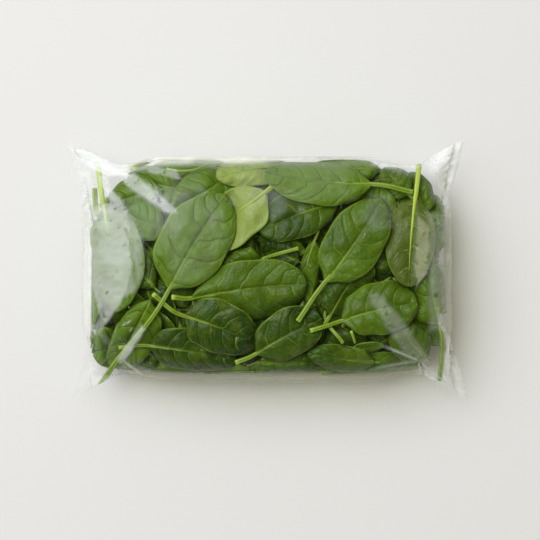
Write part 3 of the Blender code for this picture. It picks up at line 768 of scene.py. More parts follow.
def makeLeafMaterial():
    material, tree = newMaterial("leafBlade")
    along, across, row, edge = (mark(tree, n) for n in ("along", "across", "row", "edge"))
    rib, under, tone, leafId = (mark(tree, n) for n in ("rib", "under", "tone", "leafId"))
    reach = mark(tree, "reach")
    place = addNode(tree, "ShaderNodeCombineXYZ", {
        "X": along, "Y": across, "Z": times(tree, leafId, 17.0)}).outputs[0]
    broad = noise(tree, place, 0.05, 2.0)
    middle = noise(tree, place, 0.25, 3.0)
    fine = noise(tree, place, 0.8, 2.0, 0.6)
    # side veins: pale lines that thin out towards the margin
    other = times(tree, maths(tree, "GREATER_THAN", across, 0.0), 0.5)
    level = plus(tree, row, other)
    offVein = maths(tree, "ABSOLUTE", minus(tree, maths(tree, "FRACT", level), 0.5))
    # shorter ones fork off between them towards the margin
    wander = timesPlus(tree, middle, 0.5, -0.25)
    offFork = maths(tree, "ABSOLUTE", plus(tree, minus(tree, 0.5, offVein), wander))
    forked = ramp(tree, edge, 0.25, 0.60)
    veinWidth = timesPlus(tree, edge, -0.026, 0.040)
    sideVein = minus(tree, 1.0, maths(tree, "DIVIDE", offVein, veinWidth), clamp=True)
    sideVein = times(tree, sideVein, ramp(tree, edge, 0.95, 0.55))
    forkVein = minus(tree, 1.0, maths(tree, "DIVIDE", offFork, times(tree, veinWidth, 0.9)), clamp=True)
    sideVein = maths(tree, "MAXIMUM", sideVein, times(tree, times(tree, forkVein, forked), 0.55))
    patchy = ramp(tree, middle, 0.35, 0.62)
    # the fine net between them
    net = addNode(tree, "ShaderNodeTexVoronoi", {"Vector": place, "Scale": 0.42}, feature="DISTANCE_TO_EDGE")
    netLine = ramp(tree, net.outputs["Distance"], 0.09, 0.0)
    nearBase = ramp(tree, reach, 0.72, 0.05)
    midrib = times(tree, ramp(tree, rib, 1.6, 0.4), nearBase)
    drawn = times(tree, sideVein, timesPlus(tree, patchy, 0.66, 0.26))
    veins = maths(tree, "MAXIMUM", drawn, times(tree, midrib, 0.9))
    veins = maths(tree, "MAXIMUM", veins, times(tree, netLine, 0.10))
    # colour
    shade = plus(tree, times(tree, broad, 1.0), times(tree, fine, 0.42))
    shade = plus(tree, shade, times(tree, tone, 0.9))
    shade = plus(tree, minus(tree, shade, 0.12), times(tree, nearBase, 0.20), clamp=True)
    upper = blendColour(tree, shade, leafFinish["deep"], leafFinish["fresh"])
    aged = times(tree, ramp(tree, noise(tree, place, 0.11, 3.0, 0.65), 0.50, 0.66), 0.42)
    upper = blendColour(tree, aged, upper, leafFinish["olive"])
    # on pale leaves the vein lines are painted dark: painted shade in the sunken creases
    shadedCreases = times(tree, ramp(tree, tone, 0.50, 0.65), 0.85)
    lineTone = blendColour(tree, shadedCreases, leafFinish["veinTone"], leafFinish["creaseShadeTone"])
    lineTone = blendColour(tree, midrib, lineTone, leafFinish["veinTone"])
    upper = blendColour(tree, veins, upper, lineTone)
    lower = blendColour(tree, shade, leafFinish["underDeep"], leafFinish["underFresh"])
    lower = blendColour(tree, veins, lower, leafFinish["underVein"])
    colour = blendColour(tree, under, upper, lower)
    rim = times(tree, ramp(tree, edge, 0.93, 0.98), 0.65)
    colour = blendColour(tree, rim, colour, leafFinish["edgeTone"])
    # relief: the blade puffs up between its veins, seen from its upper side
    puffed = maths(tree, "POWER", 2.718, maths(tree, "DIVIDE", offVein, -leafFinish["puffWidth"]))
    puffed = times(tree, minus(tree, 1.0, puffed), leafFinish["puff"])
    pinched = maths(tree, "POWER", 2.718, maths(tree, "DIVIDE", offFork, -0.8 * leafFinish["puffWidth"]))
    puffed = minus(tree, puffed, times(tree, times(tree, pinched, forked), 0.45 * leafFinish["puff"]))
    inner = times(tree, ramp(tree, edge, 0.0, 0.10), ramp(tree, edge, 1.0, 0.80))
    puffed = times(tree, times(tree, puffed, inner), ramp(tree, tone, 0.4, 0.7, 1.0, 1.25))
    warped = addNode(tree, "ShaderNodeVectorMath", {
        0: place, 1: addNode(tree, "ShaderNodeCombineXYZ", {
            "X": times(tree, middle, 3.0), "Y": times(tree, broad, 4.0)}).outputs[0]},
        operation="ADD").outputs[0]
    cells = addNode(tree, "ShaderNodeTexVoronoi", {
        "Vector": warped,
        "Scale": 1.0 / leafFinish["cellSize"]}, feature="DISTANCE_TO_EDGE").outputs["Distance"]
    cells = times(tree, ramp(tree, cells, 0.0, 0.42), leafFinish["cells"])
    height = plus(tree, puffed, cells)
    height = times(tree, height, timesPlus(tree, under, -1.5, 1.0))
    height = plus(tree, height, times(tree, fine, leafFinish["grain"]))
    bump = addNode(tree, "ShaderNodeBump", {"Strength": 1.0, "Distance": mm, "Height": height}).outputs[0]
    rough = timesPlus(tree, middle, 0.16, leafFinish["roughness"] - 0.08)
    rough = plus(tree, rough, ramp(tree, tone, 0.5, 0.9, 0.0, 0.08))     # young pale leaves are duller
    shader = addNode(tree, "ShaderNodeBsdfPrincipled", {
        "Base Color": colour, "Roughness": rough, "Specular IOR Level": leafFinish["gloss"], "Normal": bump})
    return finished(material, shader)


stemFinish = dict(pale=(0.47, 0.62, 0.065, 1), fresh=(0.085, 0.19, 0.004, 1), roughness=0.34)


def makeStemMaterial():
    material, tree = newMaterial("leafStem")
    along, height, tone, leafId = (mark(tree, n) for n in ("along", "height", "tone", "leafId"))
    place = addNode(
        tree, "ShaderNodeCombineXYZ", {"X": times(tree, along, 0.08), "Y": height, "Z": leafId}).outputs[0]
    ribs = noise(tree, place, 3.0, 2.0)
    # the groove's edges on the stem's upper side are painted paler, a painted highlight, and its floor
    # darker, painted shade
    share = plus(tree, times(tree, ribs, 0.45), times(tree, ramp(tree, height, 0.3, 0.85), 0.22))
    share = plus(tree, share, times(tree, ramp(tree, along, 3.0, 0.0), 0.5))
    share = minus(tree, share, times(tree, ramp(tree, height, 0.90, 1.0), 0.42))
    share = plus(tree, share, times(tree, tone, 0.9), clamp=True)
    colour = blendColour(tree, share, stemFinish["fresh"], stemFinish["pale"])
    bump = addNode(tree, "ShaderNodeBump", {"Strength": 0.4, "Distance": 0.0003, "Height": ribs}).outputs[0]
    shader = addNode(
        tree, "ShaderNodeBsdfPrincipled",
        {"Base Color": colour, "Roughness": stemFinish["roughness"], "Normal": bump})
    return finished(material, shader)


def makeCoreMaterial():
    material, tree = newMaterial("packedLeaves")
    place = addNode(tree, "ShaderNodeTexCoord").outputs["Object"]
    # the dark colour is painted shade: it stands for leaves deep in the pile where little light reaches
    colour = blendColour(
        tree, noise(tree, place, 70.0, 3.0), (0.016, 0.032, 0.006, 1), (0.045, 0.085, 0.016, 1))
    shader = addNode(tree, "ShaderNodeBsdfPrincipled", {"Base Color": colour, "Roughness": 0.6})
    return finished(material, shader)


filmFinish = dict(
    gloss=0.13, straightOn=0.024, strength=0.9, mist=(0.93, 0.955, 0.93, 1), warmMist=(0.90, 0.90, 0.58, 1),
    mistRoughness=0.35, lift=(-0.32, 0.28, 0.55), passing=0.85)


def makeFilmMaterial():
    material, tree = newMaterial("clearFilm")
    facing = addNode(tree, "ShaderNodeLayerWeight", {"Blend": 0.5}).outputs["Facing"]
    # both faces of the thin film mirror, more at a glance
    share = maths(tree, "POWER", facing, 5.0)
    share = timesPlus(tree, share, 0.93, filmFinish["straightOn"])
    share = times(tree, share, filmFinish["strength"], clamp=True)
    # mist and film pass most of the light on, so they cast hardly any shadow
    shadow = addNode(tree, "ShaderNodeLightPath").outputs["Is Shadow Ray"]
    kept = timesPlus(tree, shadow, -filmFinish["passing"], 1.0)
    share = times(tree, share, kept)
    # the mist mark mixes in a white diffuse layer: partly haze, partly painted glare in place of the window
    # light the film reflects
    mistGlareShare = times(tree, mark(tree, "mist"), kept)
    clear = addNode(tree, "ShaderNodeBsdfTransparent", {"Color": (0.993, 0.996, 0.993, 1)})
    place = addNode(tree, "ShaderNodeTexCoord").outputs["Object"]
    ripple = noise(tree, place, 260.0, 2.0)
    bump = addNode(
        tree, "ShaderNodeBump", {"Strength": 0.25, "Distance": 0.0002, "Height": ripple}).outputs[0]
    gloss = addNode(
        tree, "ShaderNodeBsdfGlossy",
        {"Color": (1, 1, 1, 1), "Roughness": filmFinish["gloss"], "Normal": bump})
    sheet = addNode(tree, "ShaderNodeMixShader", {0: share, 1: clear.outputs[0], 2: gloss.outputs[0]})
    # where the tint mark is high the mist turns warm, a painted warm shade tone on the walls that lie in
    # shadow
    mistGlareColour = blendColour(tree, mark(tree, "tint"), filmFinish["mist"], filmFinish["warmMist"])
    # misty film scatters light like many small facets, so it shades as if it lay flatter
    # and more towards the window
    lifted = addNode(
        tree, "ShaderNodeVectorMath", {0: bump, 1: filmFinish["lift"]}, operation="ADD").outputs[0]
    lifted = addNode(tree, "ShaderNodeVectorMath", {0: lifted}, operation="NORMALIZE").outputs[0]
    mist = addNode(
        tree, "ShaderNodeBsdfPrincipled",
        {"Base Color": mistGlareColour, "Roughness": filmFinish["mistRoughness"], "Normal": lifted})
    misted = addNode(tree, "ShaderNodeMixShader", {0: mistGlareShare, 1: sheet.outputs[0], 2: mist.outputs[0]})
    return finished(material, misted)


def makeFloorMaterial():
    material, tree = newMaterial("paleFloor")
    shader = addNode(
        tree, "ShaderNodeBsdfPrincipled",
        {"Base Color": (0.86, 0.858, 0.845, 1), "Roughness": 0.7, "Specular IOR Level": 0.0})
    return finished(material, shader)


leafMaterial = makeLeafMaterial()
stemMaterial = makeStemMaterial()
coreMaterial = makeCoreMaterial()
filmMaterial = makeFilmMaterial()

frontPiece = newObject("frontLeaves", joinedMesh("frontLeaves", frontLeaves), leafMaterial)
turnedPiece = newObject("turnedLeaves", joinedMesh("turnedLeaves", turnedLeaves), leafMaterial)
stemPiece = newObject("leafStems", joinedMesh("leafStems", stems), stemMaterial)
print(
    "leaf meshes made:", len(frontPiece.data.polygons), len(turnedPiece.data.polygons),
    len(stemPiece.data.polygons), "faces")


# the packed middle, and the form that the outer leaves lie against

core = dict(halfX=102.0, halfY=60.0, low=3.5, middle=24.0, high=46.0, linesAlong=90, linesAcross=64, lump=1.6)
jacket = dict(halfX=107.5, halfY=65.0, low=1.0, middle=25.0, high=54.5, linesAlong=110, linesAcross=80)


def pillowForm(size, u, v, upper):
    # a plump cushion with boxy ends, its upper or its lower half
    full = np.maximum(0.0, 1 - np.abs(u) ** 5) * np.maximum(0.0, 1 - np.abs(v) ** 3.4)
    squareness = 0.15     # how far the corners draw in
    x = size["halfX"] * u * (1 - squareness * v ** 4)
    y = size["halfY"] * v * (1 - squareness * 0.8 * u ** 4)
    if upper:
        return x, y, size["middle"] + (size["high"] - size["middle"]) * full ** 0.5
    # fuller along the sides than at the ends, as the film is
    full = 1.10 * np.maximum(0.0, 1 - np.abs(u) ** 5) ** 0.42 * np.maximum(0.0, 1 - np.abs(v) ** 6) ** 0.18
    return x, y, size["middle"] - (size["middle"] - size["low"]) * np.minimum(1.0, full)


def makeCore():
    u, v = np.meshgrid(crowded(core["linesAlong"], 0.9), crowded(core["linesAcross"], 0.9), indexing="ij")
    sheets = []
    room = blurMap(lowestNear(ceiling, 6), 4.0)
    for upper in (True, False):
        x, y, z = pillowForm(core, u, v, upper)
        inside = (1 - u ** 8) * (1 - v ** 8)
        z = z + (1 if upper else -1) * core["lump"] * inside * (
            softNoise(x, y, 14.0, 3) + 0.6 * softNoise(x, y, 6.0, 4))
        if upper:
            z = np.where(inside > 0, np.maximum(np.minimum(z, readMap(room, x, y) - 2.0), core["middle"]), z)
        sheets.append(np.stack([x, y, z], axis=-1))
    points, faces = closedPillow(*sheets)
    mesh = joinedMesh("packedLeaves", [dict(points=points, faces=faces, marks={})])
    return newObject("packedLeaves", mesh, coreMaterial)


def makeJacket():
    u, v = np.meshgrid(crowded(jacket["linesAlong"], 1.0), crowded(jacket["linesAcross"], 1.0), indexing="ij")
    sheets = [np.stack(pillowForm(jacket, u, v, upper), axis=-1) for upper in (True, False)]
    points, faces = closedPillow(*sheets)
    return newObject(
        "jacket", joinedMesh("jacket", [dict(points=points, faces=faces, marks={})], smooth=False))


# the outer leaves all round, laid on the jacket by geometry nodes

lining = dict(
    rows=14, columns=8, stemBack=16.0, stemOn=20.0, stemSides=6, stemRings=9, density=16000.0, spacing=11.0,
    seed=11, sideDepth=0.8, topDepth=9.5, lowDepth=0.7, layers=5.5, smallest=0.72, largest=1.08,
    tones=(-0.5, 0.35))
liningInputs = {
    "Leaves Per Square Metre": lining["density"], "Spacing": lining["spacing"] * mm, "Seed": lining["seed"],
    "Side Depth": lining["sideDepth"], "Top Depth": lining["topDepth"], "Low Depth": lining["lowDepth"],
    "Layers": lining["layers"], "Smallest": lining["smallest"], "Largest": lining["largest"],
}
liningShapes = (
    dict(base=(-24.0, 0.0), tip=(27.0, 1.5), wide=(15.5, 14.5), fullest=0.48, bow=1.5, wave=0.9, seed=71),
    dict(base=(-21.0, 0.0), tip=(25.0, -1.0), wide=(12.5, 13.5), fullest=0.55, bow=-2.0, wave=0.7, seed=72),
    dict(base=(-25.0, 0.0), tip=(24.0, 0.5), wide=(11.0, 12.0), fullest=0.42, bow=2.5, wave=1.1, seed=73),
)


def makeLiningLeaf(index, shape):
    leaf = dict(shape, cup=1.4, arch=0.6, tone=0.0)
    sheet = bladeSheet(leaf, lining["rows"], lining["columns"] + 1)
    lift = (1.5 - sheet["form"] + sheet["relief"])
    top = np.stack([sheet["x"], sheet["y"], lift], axis=-1)
    points, faces = closedPillow(top, top - np.array([0, 0, pile["thickness"]]))
    marks = bothSides(sheet, float(index == 1), leaf)
    marks["lift"] = points[:, 2] * mm
    part = dict(points=points, faces=faces, marks=marks)
    # its stem, as a thin tube that runs on under the blade
    baseX, rings = shape["base"][0], lining["stemRings"]
    stemX = np.linspace(baseX - lining["stemBack"], baseX + lining["stemOn"], rings)
    sideways = 0.03 * (stemX - baseX) ** 2 * (stemX < baseX) * 0.5
    path = np.column_stack([stemX, sideways, np.full(rings, 0.4)])
    tube = stemTube(path, np.linspace(1.55, 0.7, rings), leaf, 0.0, sides=lining["stemSides"])
    tubeCount = len(tube["points"])
    tube["marks"] = {key: np.zeros(tubeCount) for key in part["marks"]}
    tube["marks"]["under"] = np.ones(tubeCount)
    tube["marks"]["leafId"] = np.full(tubeCount, float(shape["seed"]))
    tube["marks"]["lift"] = tube["points"][:, 2] * mm
    mesh = joinedMesh("liningLeaf" + str(index), [part, tube])
    return newObject("liningLeaf" + str(index), mesh, leafMaterial)


def growthTree(name, inputs):
    # an empty node tree with a named input for each value
    tree = bpy.data.node_groups.new(name, "GeometryNodeTree")
    tree.interface.new_socket("Geometry", in_out="INPUT", socket_type="NodeSocketGeometry")
    for key, value in inputs.items():
        kind = "NodeSocketInt" if isinstance(value, int) else "NodeSocketFloat"
        tree.interface.new_socket(key, in_out="INPUT", socket_type=kind)
    tree.interface.new_socket("Geometry", in_out="OUTPUT", socket_type="NodeSocketGeometry")
    return tree, tree.nodes.new("NodeGroupInput").outputs


def endGrowth(tree, last, material):
    coated = addNode(tree, "GeometryNodeSetMaterial", {"Geometry": last.outputs[0], "Material": material})
    tree.links.new(coated.outputs[0], tree.nodes.new("NodeGroupOutput").inputs[0])
    return tree


def randomValue(tree, low, high, seed):
    inputs = {2: low, 3: high, "Seed": seed}
    return addNode(tree, "FunctionNodeRandomValue", inputs, data_type="FLOAT").outputs[1]


def ownValue(tree, name):
    return addNode(tree, "GeometryNodeInputNamedAttribute", {"Name": name}, data_type="FLOAT").outputs[0]


def stored(tree, geometry, name, value):
    inputs = {"Geometry": geometry.outputs[0], "Name": name, "Value": value}
    return addNode(tree, "GeometryNodeStoreNamedAttribute", inputs, data_type="FLOAT", domain="INSTANCE")


def liningTree(jacketObject, shapes):
    tree, given = growthTree("layOuterLeaves", liningInputs)
    scatter = addNode(tree, "GeometryNodeDistributePointsOnFaces", {
        "Mesh": given["Geometry"], "Distance Min": given["Spacing"],
        "Density Max": given["Leaves Per Square Metre"],
        "Seed": given["Seed"]}, distribute_method="POISSON")
    joined = tree.nodes.new("GeometryNodeGeometryToInstance")
    for shape in shapes[::-1]:
        info = addNode(tree, "GeometryNodeObjectInfo", {"Object": shape})
        tree.links.new(info.outputs["Geometry"], joined.inputs[0])
    turn = addNode(tree, "ShaderNodeCombineXYZ", {"Z": randomValue(tree, 0.0, 6.2832, given["Seed"])})
    rotation = addNode(
        tree, "FunctionNodeRotateRotation", {0: scatter.outputs["Rotation"], 1: turn.outputs[0]},
        rotation_space="LOCAL")
    size = randomValue(tree, given["Smallest"], given["Largest"], 5)
    which = addNode(tree, "FunctionNodeRandomValue", {4: 0, 5: 2, "Seed": 9}, data_type="INT")
    placed = addNode(tree, "GeometryNodeInstanceOnPoints", {
        "Points": scatter.outputs["Points"], "Instance": joined.outputs[0], "Pick Instance": True,
        "Instance Index": which.outputs[2], "Rotation": rotation.outputs[0], "Scale": size})
    toned = stored(tree, placed, "tone", randomValue(tree, *lining["tones"], 21))
    layered = stored(tree, toned, "layer", randomValue(tree, 0.0, 1.0, 31))
    real = addNode(tree, "GeometryNodeRealizeInstances", {"Geometry": layered.outputs[0]})
    # each point moves to the nearest place on the jacket, then in by its depth
    wrap = addNode(tree, "GeometryNodeObjectInfo", {"Object": jacketObject})
    position = tree.nodes.new("GeometryNodeInputPosition").outputs[0]
    near = addNode(tree, "GeometryNodeProximity", {0: wrap.outputs["Geometry"]}, target_element="FACES")
    normal = tree.nodes.new("GeometryNodeInputNormal").outputs[0]
    facing = addNode(
        tree, "GeometryNodeSampleNearestSurface",
        {"Mesh": wrap.outputs["Geometry"], "Value": normal, "Sample Position": position},
        data_type="FLOAT_VECTOR")
    upright = addNode(tree, "ShaderNodeSeparateXYZ", {0: facing.outputs["Value"]}).outputs["Z"]
    depthUp = addNode(
        tree, "ShaderNodeMapRange",
        {
            "Value": upright, "From Min": 0.25, "From Max": 0.85, "To Min": given["Side Depth"],
            "To Max": given["Top Depth"]}).outputs[0]
    depthLow = addNode(
        tree, "ShaderNodeMapRange",
        {
            "Value": upright, "From Min": -0.4, "From Max": 0.0, "To Min": given["Low Depth"],
            "To Max": 0.0}).outputs[0]
    depth = plus(tree, plus(tree, depthUp, depthLow), times(tree, ownValue(tree, "layer"), given["Layers"]))
    depth = minus(tree, times(tree, depth, mm), ownValue(tree, "lift"))
    inward = addNode(
        tree, "ShaderNodeVectorMath", {0: facing.outputs["Value"], "Scale": times(tree, depth, -1.0)},
        operation="SCALE").outputs[0]
    final = addNode(
        tree, "ShaderNodeVectorMath", {0: near.outputs["Position"], 1: inward}, operation="ADD").outputs[0]
    moved = addNode(tree, "GeometryNodeSetPosition", {"Geometry": real.outputs[0], "Position": final})
    return endGrowth(tree, moved, leafMaterial)


def grown(name, base, tree, values):
    # runs a node tree on an object and keeps the result as a plain mesh
    modifier = base.modifiers.new("grow", "NODES")
    modifier.node_group = tree
    identifiers = {item.name: item.identifier for item in tree.interface.items_tree if item.in_out == "INPUT"}
    for key, value in values.items():
        modifier[identifiers[key]] = value
    bpy.context.view_layer.update()
    graph = bpy.context.evaluated_depsgraph_get()
    mesh = bpy.data.meshes.new_from_object(base.evaluated_get(graph))
    mesh.name = name
    base.modifiers.remove(modifier)
    return mesh


corePiece = makeCore()
jacketObject = makeJacket()
shapes = [makeLiningLeaf(i, shape) for i, shape in enumerate(liningShapes)]
liningMesh = grown("outerLeaves", corePiece, liningTree(jacketObject, shapes), liningInputs)
liningMesh.materials.clear()
liningPiece = newObject("outerLeaves", liningMesh, leafMaterial)
for spare in shapes + [jacketObject]:
    bpy.data.objects.remove(spare)
print("outer leaves grown:", len(liningMesh.polygons), "faces")


# the film

# sharp creases in the film: from X, Y to X, Y, height, half width and how much white mist the ridge carries,
# a painted highlight
creases = (
    (-123, 77, -80, 56, 1.8, 3.4, 0.25), (-103, 57, -85, 33, 1.2, 2.2, 0.3),
    (-122, 74, -111, 28, 1.2, 2.2, 0.1), (-120, 71, -101, 44, -1.1, 2.6, 0),
    (-117, 74, -92, 64, 0.9, 1.8, 0.1), (-121, 66, -113, 50, 0.8, 1.6, 0),
    (120, 77, 96, 53, 1.1, 2.8, 0.12), (119, 68, 104, 58, 0.9, 1.6, 0.1),
    (119.5, 60, 107, 50, 0.8, 1.5, 0.12), (121, 76, 112, 38, 1, 2.2, 0.08), (112, 74, 88, 66, 1, 2, 0.05),
    (116, 72, 103, 66, -0.9, 1.6, 0), (93, -55, 68, -45.5, 1.1, 1.3, 0.6), (93, -55, 60, -61, 1, 1.8, 0.25),
    (93, -56, 98, -69, 1.1, 1.4, 0.6), (94, -56, 118, -74, 1.3, 1.6, 0.4), (93, -54, 105, -38, 0.9, 1.8, 0),
    (121, -48, 122.5, -74, 1.1, 1.8, 0.55), (104, -61, 123, -77, -1.2, 1.5, 0.3),
    (110, -52, 121, -60, 0.9, 1.3, 0.4), (97, -60, 108, -74, 0.9, 1.2, 0.5),
    (86, -60, 94, -71, 0.8, 1.1, 0.35), (112, -44, 119, -50, 0.7, 1.2, 0.3),
    (-88, -55, -70, -68.5, 1.4, 1.5, 0.45), (-120, -77, -95, -50, 1.2, 2.8, 0.12),
    (-113, -77, -86, -57, 1, 2.2, 0), (-88.5, -34.5, -82, -29.5, 0.5, 0.9, 0.4),
    (-93, -42, -91, -31, 0.4, 1.4, 0.1), (-84.5, -38, -81.5, -34.5, 0.4, 0.8, 0.22),
    (-119, -70, -109, -44, 1, 2.2, 0.1), (-96, -67, -84, -58, 0.7, 1.2, 0.15),
)
def patch(strength, soft, *corners, **more):
    # a patch of film: how strong, how soft its edge is and its corners in plan
    return dict(strength=strength, soft=soft, corners=corners, **more)


# the film looks misted in these patches: partly haze where it clings to a wet leaf, partly painted glare
# standing in for the reflection of the window light
mistGlarePatches = (
    patch(0.35, 1.3, (-106, 40), (-88, 40), (-83, 28), (-81.5, 4), (-84, -12), (-98.5, -34), (-103, -26),
          (-108, -7), (-110, 10)),
    patch(0.2, 1.6, (-90, 38), (-80, 31), (-75, 14), (-75.5, -3), (-80.5, -13), (-92, -20)),
    patch(0.22, 1.2, (-97, -29), (-98.5, -34), (-106, -45), (-108.5, -42), (-102, -28)),
    patch(0.4, 0.9, (-76.5, -33), (-73.5, -35.5), (-91, -60.5), (-95.5, -59)),
    patch(0.28, 0.9, (-72.5, 64), (-56, 61), (-51.5, 55), (-56, 55.5), (-73, 60.5)),
    patch(0.76, 1.2, (-124, 79.5), (-100, 67), (-84, 60), (-81, 56), (-100, 58.5), (-119, 69)),
    patch(0.38, 0.9, (-103.5, 58.5), (-99.5, 57), (-85.5, 37), (-84, 31), (-90.5, 37), (-102, 51)),
    patch(0.4, 3.0, (-124, 78), (-96, 66), (-100, 44), (-112, 26), (-118, 50), fan=(-97, 54)),
    patch(0.8, 1.8, (121, 80), (101, 72), (98.5, 60), (102, 51), (111, 47), (119.5, 60), fan=(92, 52)),
    patch(0.34, 2.4, (119.5, 60), (102, 53), (101, 46), (109, 33), (120, 48), fan=(92, 52)),
    patch(0.42, 2.5, (124, -80), (96, -66), (98, -56), (109, -38), (123.5, -42), fan=(92, -54)),
    patch(0.22, 3.0, (-121, -79), (-92, -66), (-92, -58), (-108, -50), fan=(-92, -54)),
    patch(0.4, 1.2, (-90, 55), (-82, 60), (-57, 40), (-54, 34), (-62, 35)),
    patch(0.06, 5.0, (-74, 47), (-58, 38), (-38, 48), (-44, 60)),
    patch(0.05, 6.0, (-70, 30), (-48, 44), (-28, 40), (-24, 18), (-38, -4), (-54, -8)),
    patch(0.045, 4.0, (-20, 66), (12, 68), (48, 64), (52, 44), (20, 42), (-18, 46)),
    patch(0.13, 1.6, (61, -14), (68, -14.5), (79, -27), (99, -53), (100, -59), (88, -55), (72, -34),
          tint=0.25),
    patch(0.235, 1.0, (91.5, 34), (99.5, 26), (98, -2), (91, -10), (89.5, 4), tint=0.9),
    patch(0.06, 1.4, (57, 29.8), (63.2, 45.5), (76, 46.5), (77, 26), (65, 23.6)),
    patch(0.34, 0.9, (62, 67.5), (84, 63.8), (82.5, 61.2), (66, 63.4)),
    patch(0.14, 2.0, (98, 34), (111, 34), (111, -46), (99, -37), tint=0.3),
)
clearPatches = (
    patch(1.0, 1.2, (-112, -37), (-101, -40), (-90, -57), (-84, -66), (-102, -66), (-113, -50)),
    patch(0.8, 1.5, (100, -36), (111.5, -38), (110, -50), (101, -52)),
    patch(0.85, 1.3, (-86, 60), (-70, 66), (-72, 71.5), (-86, 66.5)),
    patch(0.75, 1.0, (91.5, 56), (97, 56), (97.5, 68.5), (91.5, 68.5)),
    patch(0.75, 1.0, (103.5, -52), (109.5, -52), (110, -70), (104.5, -70)),
)
# dark cracks through the mist and its painted glare: corners of a broken line and its half width
cracks = (
    (((-86.2, 26.0), (-83.0, 18.6), (-81.2, 5.0), (-80.0, -9.3)), 0.7),
    (((89.5, 13.0), (88.8, 7.5), (91.6, 3.5)), 0.9),
    (((-78.5, 57.5), (-70.0, 50.0), (-66.0, 44.0)), 0.5),
)
# mist and painted glare along the side walls and over the end walls, as shares of the way from the middle to
# the seal
# how the painted glare on the ears fades out towards the body and streaks
earGlare = dict(full=0.10, none=0.34, even=0.90, streak=0.35)
wallGlare = dict(start=0.84, thick=0.945, thinning=0.958, end=0.99, nearCorner=0.80, atCorner=0.90,
            endStart=0.81, endThick=0.87, endThinning=0.895, endStop=0.94,
            seamLine=0.978, seamWidth=0.008, top=0.95, topRight=0.50, bottom=0.32, left=0.44, right=0.46,
            folds=((0.905, 0.55), (0.935, 0.45), (0.962, 0.5), (0.984, 0.35)), foldWidth=0.011)


def segmentNearness(x, y, x1, y1, x2, y2):
    # distance aside of a segment and the share of the way along it
    length = math.hypot(x2 - x1, y2 - y1)
    along = ((x - x1) * (x2 - x1) + (y - y1) * (y2 - y1)) / length
    aside = (-(x - x1) * (y2 - y1) + (y - y1) * (x2 - x1)) / length
    return aside, along / length


def creaseAt(x, y):
    # height and white mist, a painted highlight, of all creases; a crease fades in fast at its start and
    # slowly at its end
    height, misty = np.zeros_like(x), np.zeros_like(x)
    for number, (x1, y1, x2, y2, high, wide, glare) in enumerate(creases):
        aside, along = segmentNearness(x, y, x1, y1, x2, y2)
        aside = aside + 0.45 * softNoise(x, y, 6.0, 300 + number)
        fade = smooth(along, -0.08, 0.12) * (1 - smooth(along, 0.55, 1.05))
        height = height + high * fade * np.maximum(0.0, 1 - np.abs(aside) / wide)
        misty = np.maximum(misty, glare * fade * np.maximum(0.0, 1 - np.abs(aside) / (0.55 * wide)) ** 0.7)
    return height, misty


def insidePatch(patch, x, y):
    # 1 inside a patch with outward corners only, 0 outside, softened over its edge
    corners = np.array(patch["corners"], float)
    area = np.sum(corners[:, 0] * np.roll(corners[:, 1], -1) - np.roll(corners[:, 0], -1) * corners[:, 1])
    inside = np.full_like(x, 1e3)
    for a, b in zip(corners, np.roll(corners, -1, axis=0)):
        way = (b - a) / np.hypot(*(b - a))
        inside = np.minimum(inside, math.copysign(1.0, area) * (way[0] * (y - a[1]) - way[1] * (x - a[0])))
    inside = inside + 0.8 * softNoise(x, y, 7.0, 61)
    return smooth(inside, -patch["soft"], patch["soft"])


